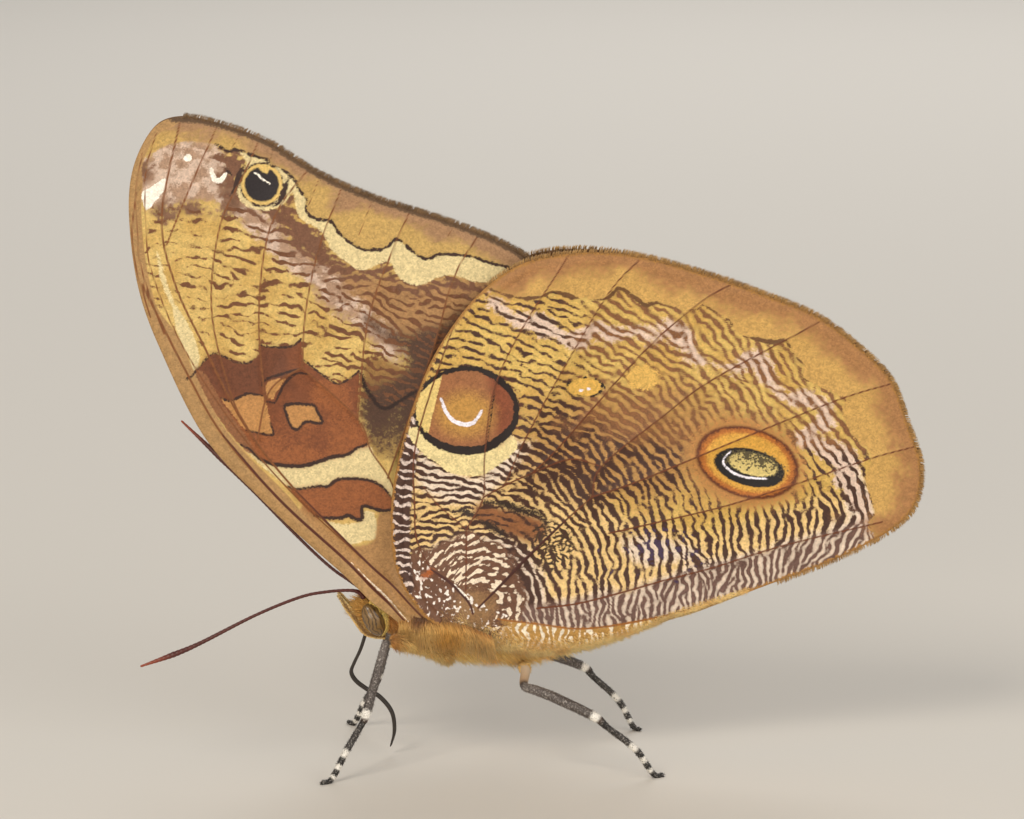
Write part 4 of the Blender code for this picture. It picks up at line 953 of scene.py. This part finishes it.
# Hair at the roots of the hindwings: a loose golden beard along the lower edge of each wing, growing
# from the wing itself and hiding where it joins the body.
HAIRY_EDGE = (
    (2, -0.3), (3.6, -0.5), (4.8, -0.9), (6.4, -1.75), (9, -2.5), (12, -2.5), (14.9, -2), (18.1, -0.9),
    (22, 0.5), (26, 1.8),
)
HAIRY_DEPTH = (2.6, 0.35)
BEARD_TUFTS = 7500
edge_line = curve_through(HAIRY_EDGE, 0.3)


def along(line, u):
    """Where each share u of a line's points falls."""
    return [np.interp(u, np.linspace(0, 1, len(line)), line[:, k]) for k in (0, 1)]


def hairy_edge(side):
    """The strip of wing face that carries the beard: u runs along the edge, v up from it."""
    def surface(u, v):
        x, z = along(edge_line, u)
        z = z + (v - 0.12) * (HAIRY_DEPTH[1] + (HAIRY_DEPTH[0] - HAIRY_DEPTH[1]) * (1 - u)**1.5)
        stand = hindwing_offset(np.stack([x, z], 1)) + SKIN_GAP + 0.5 * MEMBRANE
        return np.stack([x, side * stand, z], 1)
    return surface


wing_hair = pelt("golden_wing_root_hair", "#DCA450", "#FFE8A4", "#D69C50", (
    ((2.2, -4, 0.4), 2.2, "#A27A52"), ((5.2, -4, 0.5), 1.6, "#B08A5E"), ((2.2, 4, 0.4), 2.2, "#A27A52")))
u, v = spread(BEARD_TUFTS, lambda u, v: np.clip(1 - v, 0, 1)**1.6 * (1 - 0.45 * u), 23)
for side, label in SIDES:
    beard = coat("wing_root_fur_" + label, hairy_edge(side), (u, v),
        wing_hair, (0.45 + 0.5 * fade(0.5 - v, 0.5)) * (1 - 0.6 * u),
        0.05, 0.86, 24, 0.35, 1.0, 0.7, (0, side, 0))


# Flank hair: a loose brown fleece rooted about the wings' bases, hanging down over the middle legs' thighs.
SHOULDER = ((-1.2, -0.1), (0.6, 0), (2, 0), (3.8, -0.2), (6.2, -1.2))
SHOULDER_DEPTH = 1.3
FLANK_TUFTS = 2600
shoulder_line = curve_through(SHOULDER, 0.3)


def shoulder(side):
    """A strip standing just off the wings' bases: u runs along it towards the tail, v up."""
    def surface(u, v):
        x, z = along(shoulder_line, u)
        z = z + SHOULDER_DEPTH * (v - 0.75)
        stand = clearance(np.stack([x, z], 1)) + 0.3 + fade(x + 0.4, 1.8)
        return np.stack([x, side * stand, z], 1)
    return surface


flank_hair = pelt("brown_flank_hair", "#BE8442", "#F4CC80", "#B47A3E", (
    ((0.6, -3.2, 0.2), 1.5, "#8E6240"), ((0.6, 3.2, 0.2), 1.5, "#8E6240"), ((3, -4, -1.4), 1.8, "#DCA24A")))
u, v = np.random.default_rng(25).uniform(0.01, 0.99, (2, FLANK_TUFTS))
for side, label in SIDES:
    fleece = coat("flank_fur_" + label, shoulder(side), (u, v), flank_hair, 1.25 + 0.35 * (1 - u),
        0.06, 0.72, 26, 0.6, 0.7, 1.7, (0, side, 0))


# Fringe: long narrow scales in one row along the outer margin of each wing, dark brown on the fore pair
# and tawny on the hind pair.
WING_MIDDLE = (8, 0, 12)
FRINGE = {"forewing": (FOREWING_OUTLINE, 10, 18, 1000), "hindwing": (HINDWING_OUTLINE, 8, 22, 1900)}
FRINGE_HAIR = {"forewing": pelt("forewing_fringe", "#6B4E34", "#A58660", "#54402E"),
               "hindwing": pelt("hindwing_fringe", "#96703F", "#CDA468", "#84603A")}
for kind, (outline, first, last, count) in FRINGE.items():
    ring = loop_through(outline, 0.3)
    start, end = (int(np.argmin(np.linalg.norm(ring - np.array(outline[k]),
        axis=1))) for k in (first, last))
    margin = ring[start:end + 1]
    inner = hindwing_offset if kind == "hindwing" else clearance
    for side, label in SIDES:
        def margin_strip(u, v, margin=margin, inner=inner, side=side):
            """The rim of the membrane: u runs along the margin, v across its thickness."""
            spots = np.stack(along(margin, u), 1)
            return np.stack([spots[:, 0], side * (inner(spots) + SKIN_GAP + 0.05 * (v % 1.0)), spots[:, 1]],
                1)
        u, v = np.random.default_rng(27).uniform(0.02, 0.98, (2, count))
        out = margin_strip(u, v) - WING_MIDDLE
        row = coat(kind + "_" + label + "_fringe", margin_strip, (u, v), FRINGE_HAIR[kind],
            0.34, 0.1, 0.3, 28, 0.0, 1.0, 0.0, out)


# Head: a small round capsule between the eyes, hidden under orange-brown hair that stands forward over
# the face in a tuft and up between the feelers.
HEAD_CENTRE, HEAD_RADII = np.array([-3.05, 0.0, -0.1]), np.array([0.9, 1.15, 1.15])
EYE_CENTRE, EYE_RADII, EYE_TILT = np.array([-3.05, 1.3, -0.4]), np.array([0.78, 0.68, 1.36]), np.radians(-26)


def head_skin(u, v):
    """An ellipsoid with its poles at nape and face: u runs from the face back, v round from the crown."""
    polar, turn = np.pi * u, 2 * np.pi * v
    return HEAD_CENTRE + HEAD_RADII * np.stack([-np.cos(polar), np.sin(polar) * np.sin(turn),
                                                np.sin(polar) * np.cos(turn)], -1)


face_hair = pelt("orange_face_hair", "#A46C34", "#E8B45E", "#A06A32")
head = wrapped("head_skin", head_skin, (36, 40), face_hair)
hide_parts("head")
u, v = spread(4200, lambda u, v: np.sin(np.pi * u), 31)
face = head_skin(u, v)
tuft_length = 0.42 + 0.95 * fade(0.5 - u, 0.35) * fade(face[:, 2] + 0.9, 0.9) * fade(0.95 - np.abs(face[:,
    1]), 0.3)
tuft = coat("head_fur", head_skin, (u, v), face_hair, tuft_length, 0.06, 0.25, 32, -0.18, -1.0)


# Eyes: domed compound eyes of brown facets, banded dark and grey along their height and glossy as lacquer;
# a crescent of yellow scales edges each one behind.
EYE_BANDS = 14


def tilted(x, y, z, side):
    """Places about the eye's centre, turned in the plane of the side view by the eye's tilt."""
    return EYE_CENTRE * (1, side, 1) + np.stack([x * np.cos(EYE_TILT) + z * np.sin(EYE_TILT), y + 0 * x,
                                                 z * np.cos(EYE_TILT) - x * np.sin(EYE_TILT)], -1)


def eye_surface(side):
    """An ellipsoid tilted in the plane of the side view; u runs from its top, v round it."""
    def surface(u, v):
        polar, turn = np.pi * u, 2 * np.pi * v
        return tilted(EYE_RADII[0] * np.sin(polar) * np.cos(turn),
            EYE_RADII[1] * np.sin(polar) * np.sin(turn), EYE_RADII[2] * np.cos(polar), side)
    return surface


def facets():
    """Compound eye: hexagonal lenses about 0.03 mm wide, drawn at 0.045 mm and still too fine to show, over
    brown pigment in bands; a thin clear coat gives it a wet gloss."""
    material, tree, place = substance("compound_eye", {"Roughness": 0.3, "Coat Weight": 0.3,
        "Coat Roughness": 0.08})
    around = add(tree, "Attribute", {"attribute_name": "around"}, output="Fac")
    sway = add(tree, "TexNoise", {"Scale": 1000.0, "Detail": 4.0}, {"Vector": place})
    swayed = add(tree, "Math", {"operation": "MULTIPLY_ADD", 1: 0.3}, {0: sway, 2: around})
    wave = add(tree, "Math", {"operation": "MULTIPLY", 1: 2 * np.pi * EYE_BANDS}, {0: swayed})
    sine = add(tree, "Math", {"operation": "SINE"}, {0: wave})
    bands = add(tree, "MapRange", {"From Min": 0.1, "From Max": 1.0, "To Max": 0.85}, {"Value": sine})
    tone = add(tree, "Mix", {"data_type": "RGBA", "A": "#806238", "B": "#2C1D14"}, {"Factor": bands},
        "Result")
    lens = add(tree, "TexVoronoi", {"Scale": 22000.0}, {"Vector": place}, "Distance")
    shaded(tree, tone, bump=(0.15, 0.00001, lens))
    return material


eye_glass = facets()
yellow_scales = pelt("yellow_rim_scales", "#F8C654", "#FFEE9C", "#F6CC60")
for side, label in SIDES:
    eye = wrapped("eye_" + label + "_dome", eye_surface(side), (40, 56), eye_glass)
    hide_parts("eye_" + label)

    def rim(u, v, side=side):
        """A band on the head behind the eye: u runs down the eye's hind edge, v across the band."""
        polar = np.pi * (0.06 + 0.86 * u)
        out = 0.06 + 0.55 * (v % 1.0)
        x = (EYE_RADII[0] + out) * np.sin(polar)
        z = (EYE_RADII[2] + 0.2 * out) * np.cos(polar)
        return tilted(x, side * (0.05 - 0.55 * (v % 1.0)), z, side)
    places = np.random.default_rng(41).uniform(0.01, 0.99, (2, 1300))
    brow = coat("eye_rim_" + label, rim, places, yellow_scales, 0.32, 0.08, 0.9, 42, 0.0, 1.0, 0.0,
        (0, side, 0))


# Palps: two feelers beside the tongue, curved up before the face and clad in flat scales, cream-yellow
# along both edges with a brown line between.
PALP = ((-2.1, 0.5, -1.95), (-2.9, 0.56, -1.85), (-3.75, 0.62, -1.45), (-4.65, 0.62, -0.2),
    (-5.25, 0.55, 0.6), (-5.75, 0.45, 1.3))
PALP_RADII = (0.14, 0.24, 0.27, 0.26, 0.2, 0.07)


def tube(path, radii, side=1, step=0.15, beads=0, bead_depth=0.0):
    """A round bar carried along a path; frames are turned with the path so that they never twist. u runs
    along it and v round it; it narrows to a point at both ends over its last bit."""
    line = curve_through(path, step) * (1, side, 1)
    travelled = np.concatenate([[0.0], np.cumsum(np.linalg.norm(np.diff(line, axis=0), axis=1))])
    dome = (radii[0] / travelled[-1], radii[-1] / travelled[-1])
    travelled /= travelled[-1]
    nearest = [int(np.argmin(np.linalg.norm(line * (1, side, 1) - point, axis=1))) for point in path]
    stations = travelled[nearest]
    heading = np.gradient(line, axis=0)
    heading /= np.linalg.norm(heading, axis=1)[:, None]
    across = np.empty_like(line)
    across[0] = np.cross(heading[0], (0.3, 0.1, 1))
    for k in range(1, len(line)):
        across[k] = across[k - 1] - heading[k] * (across[k - 1] @ heading[k])
        across[k] /= np.linalg.norm(across[k])
    across[0] /= np.linalg.norm(across[0])
    other = np.cross(heading, across)

    def surface(u, v):
        pick = [np.stack([np.interp(u, travelled, a[:, k]) for k in range(3)],
            -1) for a in (line, across, other)]
        size = np.interp(u, stations, radii) * (1 + bead_depth * np.abs(np.sin(np.pi * beads * u)))
        near, far = np.clip(1 - u / dome[0], 0, 1), np.clip(1 - (1 - u) / dome[1], 0, 1)
        end = np.sqrt(np.clip(1 - near**2, 0, 1) * np.clip(1 - far**2, 0, 1))
        turn = 2 * np.pi * (v % 1.0)
        return pick[0] + (size * end)[..., None] * (np.cos(turn)[..., None] * pick[1]
                                                    + np.sin(turn)[..., None] * pick[2])
    return surface, stations


palp_scales = pelt("palp_scales", "#EAB860", "#FFEDB0", "#D69E4C", (), "#6E4422")
for side, label in SIDES:
    surface = tube(PALP, PALP_RADII, side)[0]
    palp = wrapped("palp_" + label + "_skin", surface, (60, 20), palp_scales)
    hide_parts("palp_" + label)
    places = np.random.default_rng(51).uniform(0, 1, (2, 2600))
    brush = coat("palp_" + label + "_scales", surface, places, palp_scales, 0.24, 0.06, 0.88, 52, -0.05)


# Tongue: two half tubes of dark chitin zipped side by side, reaching down and bending at the knee.
PROBOSCIS = (
    (-3.65, 0, -1.7), (-4.1, 0, -3.1), (-4.6, 0, -4.2), (-4.85, 0, -4.95), (-4.5, 0, -5.65),
    (-3.7, 0, -6.3), (-2.6, 0, -7), (-1.7, 0, -8.2), (-1.5, 0, -9.7), (-1.8, 0, -11),
)


def chitin(name, colour, tip_colour, roughness):
    """Tanned chitin: dark, smooth, a little glossy, mottled and pitted; the colour changes at the tip."""
    material, tree, place = substance(name, {"Roughness": roughness})
    length_share = add(tree, "Attribute", {"attribute_name": "along"}, output="Fac")
    blotch = add(tree, "TexNoise", {"Scale": 2500.0, "Detail": 3.0}, {"Vector": place})
    late = add(tree, "MapRange", {"From Min": 0.86, "From Max": 0.97}, {"Value": length_share})
    tone = add(tree, "Mix", {"data_type": "RGBA", "A": colour, "B": tip_colour}, {"Factor": late}, "Result")
    lift = add(tree, "MapRange", {"To Min": 0.6, "To Max": 1.5}, {"Value": blotch})
    shaded(tree, tone, (), lift, (0.4, 0.00003, blotch))
    return material


tongue_chitin = chitin("tongue_chitin", "#2C241E", "#2A221C", 0.35)
for shift, label in ((-0.11, "left"), (0.11, "right")):
    path = [(x + 0.3 * shift, shift, z + 0.2 * shift) for x, y, z in PROBOSCIS]
    half = wrapped("proboscis_" + label + "_tube", tube(path, [0.12] * 9 + [0.05])[0], (150, 14),
        tongue_chitin)
    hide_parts("proboscis")


# Feelers: slender shafts of some fifty ringed joints, dark red-brown, thickening to a long club with a
# rusty tip.
ANTENNA_LEFT = ((-3.75, -0.7, 1.1), (-4.1, -0.8, 1.6), (-4.8, -0.95, 1.85), (-6.6, -1.35, 1.85),
    (-8.7, -1.9, 1.55), (-12.1, -2.8, 0.35), (-16.3, -3.8, -1.6), (-18.4, -4.3, -2.4), (-20.9, -4.8, -3.2))
ANTENNA_RIGHT = ((-3.75, 0.7, 1.1), (-4.1, 0.8, 1.6), (-5, 1.2, 2.1), (-6.6, 1.9, 3.1), (-9, 2.7, 5.2),
    (-12.4, 3.6, 8.6), (-15.2, 4.2, 11.3), (-18.2, 4.8, 14.1))
feeler_chitin = chitin("feeler_chitin", "#4E1F18", "#8A3A1E", 0.4)
for path, label in ((ANTENNA_LEFT, "left"), (ANTENNA_RIGHT, "right")):
    radii = [0.19, 0.16] + [0.115] * (len(path) - 5) + [0.15, 0.21, 0.07]
    surface = tube(path, radii, step=0.08, beads=52, bead_depth=0.14)[0]
    shaft = wrapped("antenna_" + label + "_shaft", surface, (420, 12), feeler_chitin)
    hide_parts("antenna_" + label)


# Legs: four walking legs. Thighs clad in golden hair like the belly, grey-scaled shins flecked with white
# and white at the heel, and black feet of five joints banded white, ending in a pair of claws.
MIDLEG = ((2.7, 1.2, -3.4), (2.1, 2.45, -2.75), (0.2, 2.95, -1.9), (-1.85, 3.15, -1.7), (-2.3, 3.7, -2.6),
          (-3.5, 5.7, -6.7), (-3.8, 6, -7.4), (-5, 7, -9.3), (-6.1, 7.8, -11.3), (-6.9, 8.4, -11.42))
HINDLEG = ((8.6, 1.25, -4.1), (8.75, 3, -4.1), (8.65, 4.9, -4.7), (9.5, 5.8, -4.8), (11, 6.35, -5.25),
           (14, 7.2, -6.5), (15, 7.2, -7.35), (17.2, 6.9, -9.2), (18.6, 6.5, -11.3), (19.4, 6.2, -11.42))
MIDLEG_RADII = (0.22, 0.24, 0.24, 0.24, 0.33, 0.36, 0.24, 0.27, 0.22, 0.16)
HINDLEG_RADII = (0.4, 0.38, 0.32, 0.38, 0.4, 0.37, 0.24, 0.26, 0.22, 0.16)
RIGHT_FOOT_SHIFT = 1.4
KNEE = {"midleg": 3, "hindleg": 2}
THIGH_TONES = {"midleg": ("#B98A4A", "#C79A5A"), "hindleg": ("#E6D6BC", "#B09274")}
FOOT_BANDS = ((0.0, "#1B1715"), (0.3, "#3A3532"), (0.38, "#3A3532"), (0.42, "#F0ECE4"), (0.49, "#F0ECE4"),
              (0.52, "#1B1715"), (0.6, "#1B1715"), (0.62, "#F0ECE4"), (0.67, "#F0ECE4"), (0.69, "#1B1715"),
              (0.76, "#1B1715"), (0.78, "#E8E4DC"), (0.81, "#E8E4DC"), (0.83, "#1B1715"), (1.0, "#1B1715"))


def banded_leg(name, kind, stations):
    """Leg scales: small flat scales over dark chitin, laid like slates, so the leg looks frosted and
    speckled; the bands follow the leg's own length, from thigh to knee, heel and foot."""
    knee, heel = stations[KNEE[kind]], stations[5]
    stops = [(0.0, THIGH_TONES[kind][0]), (knee - 0.03, THIGH_TONES[kind][1]), (knee, "#3A3230"),
             (knee + 0.02, "#6E6560"), (0.5 * (knee + heel), "#554C48"), (heel - 0.02, "#4D4541"),
             (heel - 0.005, "#F6F2EA"), (heel + 0.018, "#F6F2EA"), (heel + 0.028, "#3E2A1E")]
    stops += [(heel + 0.045 + (0.955 - heel) * share, colour) for share, colour in FOOT_BANDS]
    material, tree, place = substance(name, {"Roughness": 0.55})
    length_share = add(tree, "Attribute", {"attribute_name": "along"}, output="Fac")
    speck = add(tree, "TexNoise", {"Scale": 9000.0, "Detail": 3.0}, {"Vector": place})
    jitter = add(tree, "Math", {"operation": "MULTIPLY_ADD", 1: 0.02}, {0: speck, 2: length_share})
    level = add(tree, "Math", {"operation": "SUBTRACT", 1: 0.01}, {0: jitter})
    covers = [(add(tree, "MapRange", {"From Min": start, "From Max": end}, {"Value": level}), after)
              for (start, before), (end, after) in zip(stops, stops[1:]) if before != after]
    tone = add(tree, "Mix", {"data_type": "RGBA", "A": stops[0][1],
        "B": covers[0][1]}, {"Factor": covers[0][0]}, "Result")
    shank = add(tree, "MapRange", {"From Min": knee, "From Max": knee + 0.02, "To Min": 0.15},
        {"Value": level})
    for first, last, most, colour in ((0.54, 0.68, 0.5, "#D8D0C8"), (0.46, 0.36, 0.6, "#1A1614")):
        share = add(tree, "MapRange", {"From Min": first, "From Max": last, "To Max": most},
            {"Value": speck})
        covers.append((add(tree, "Math", {"operation": "MULTIPLY"}, {0: share, 1: shank}), colour))
    shaded(tree, tone, covers[1:], bump=(0.5, 0.00004, speck))
    return material


thigh_hair = pelt("golden_thigh_hair", "#DCA24A", "#FFE298", "#D29A4A", (
    ((-1.6, -3, -1.8), 1.8, "#BE8646"), ((-1.6, 3, -1.8), 1.8, "#BE8646")))
# Tufts on a thigh, the share of it they cover, their length and their lean.
HOSE = {"midleg": (3800, 0.99, 0.95, 0.62), "hindleg": (600, 0.42, 0.4, 0.8)}
for kind, path, radii in (("midleg", MIDLEG, MIDLEG_RADII), ("hindleg", HINDLEG, HINDLEG_RADII)):
    for side, label in SIDES:
        inward = RIGHT_FOOT_SHIFT * (-1.0 if kind == "hindleg" else 1.0) * (side == 1)
        placed = [(x + inward * max(0.0, (k - 2) / 7), y, z) for k, (x, y, z) in enumerate(path)]
        surface, stations = tube(placed, radii, side)
        slate = banded_leg(kind + "_" + label + "_scales", kind, stations)
        leg = wrapped(kind + "_" + label + "_skin", surface, (260, 22), slate)
        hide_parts(kind + "_" + label)
        draw = np.random.default_rng(61)
        knee = stations[KNEE[kind]]
        places = draw.uniform(0, 1, (2, 1100)) * [[1 - knee], [1]] + [[knee], [0]]
        bristles = coat(kind + "_" + label + "_bristles", surface, places, slate, 0.2, 0.035, 0.7, 62, 0.05)
        count, cover, length, lean = HOSE[kind]
        places = draw.uniform(0, 1, (2, count)) * [[cover * knee], [1]]
        hose = coat(kind + "_" + label + "_thigh_fur", surface, places, thigh_hair, length, 0.06, lean, 63,
            0.3, -1.0, 0.7)


# Forelegs: stunted and brush-like, folded flat against the chest and hidden in its hair.
FORELEG = ((1.1, 0.85, -3.1), (0.2, 0.95, -2.85), (-0.7, 0.95, -2.65), (-1.6, 0.9, -2.5))
brush_hair = pelt("foreleg_brush", "#C08A44", "#FFE3A8", "#C89A54")
for side, label in SIDES:
    surface = tube(FORELEG, (0.2, 0.26, 0.24, 0.14), side)[0]
    arm = wrapped("foreleg_" + label + "_skin", surface, (50, 16), brush_hair)
    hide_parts("foreleg_" + label)
    places = np.random.default_rng(71).uniform(0, 1, (2, 800))
    brush = coat("foreleg_" + label + "_brush", surface, places, brush_hair, 0.4, 0.06, 0.75, 72)


# Floor, light and camera: a pale matt floor under soft light from the upper left, seen from the
# animal's left side, a little from above.
FLOOR_SIDE = 4.0
CAMERA_AIM = np.array([-1.19, 0.0, 27.6]) * MM
CAMERA_REACH = 0.329
CAMERA_HEIGHT = np.radians(12)


def floor_plane():
    """One square at height nothing."""
    half = FLOOR_SIDE / 2
    mesh = bpy.data.meshes.new("floor")
    mesh.from_pydata([(-half, -half, 0), (half, -half, 0), (half, half, 0), (-half, half, 0)], [],
        [(0, 1, 2, 3)])
    thing = bpy.data.objects.new("floor", mesh)
    bpy.context.scene.collection.objects.link(thing)
    paint = bpy.data.materials.new("floor_paint")
    paint.use_nodes = True
    paint.node_tree.nodes["Principled BSDF"].inputs["Base Color"].default_value = to_linear("#D9D4CC")
    paint.node_tree.nodes["Principled BSDF"].inputs["Roughness"].default_value = 0.9
    mesh.materials.append(paint)


def lamp(name, place, size, power, tint):
    """A square soft light aimed at the middle of the animal."""
    light = bpy.data.lights.new(name, "AREA")
    light.size, light.energy, light.color = size, power, to_linear(tint)[:3]
    thing = bpy.data.objects.new(name, light)
    thing.location = place
    thing.rotation_euler = (Vector(CAMERA_AIM) - Vector(place)).to_track_quat("-Z", "Y").to_euler()
    bpy.context.scene.collection.objects.link(thing)


floor_plane()
lamp("key", (-0.28, -0.4, 0.5), 0.25, 1.6, "#FFF6E8")
lamp("fill", (0.4, -0.3, 0.25), 0.4, 0.9, "#FFFAF2")
lamp("back", (0.1, 0.5, 0.4), 0.4, 1.3, "#FFFFFF")
lamp("low", (-0.12, -0.5, 0.05), 0.3, 1.4, "#FFF4E2")
world = bpy.data.worlds.new("studio")
world.use_nodes = True
world.node_tree.nodes["Background"].inputs["Color"].default_value = to_linear("#EFEDEA")
world.node_tree.nodes["Background"].inputs["Strength"].default_value = 0.4
bpy.context.scene.world = world
bpy.context.scene.view_settings.view_transform = "Standard"
camera = bpy.data.cameras.new("camera")
camera.lens, camera.sensor_width = 150, 36
camera.clip_start, camera.clip_end = 0.01, 10
viewpoint = bpy.data.objects.new("camera", camera)
back = np.array([0.0, -np.cos(CAMERA_HEIGHT), np.sin(CAMERA_HEIGHT)])
viewpoint.location = CAMERA_AIM + CAMERA_REACH * back
viewpoint.rotation_euler = Vector(-back).to_track_quat("-Z", "Y").to_euler()
bpy.context.scene.collection.objects.link(viewpoint)
bpy.context.scene.camera = viewpoint
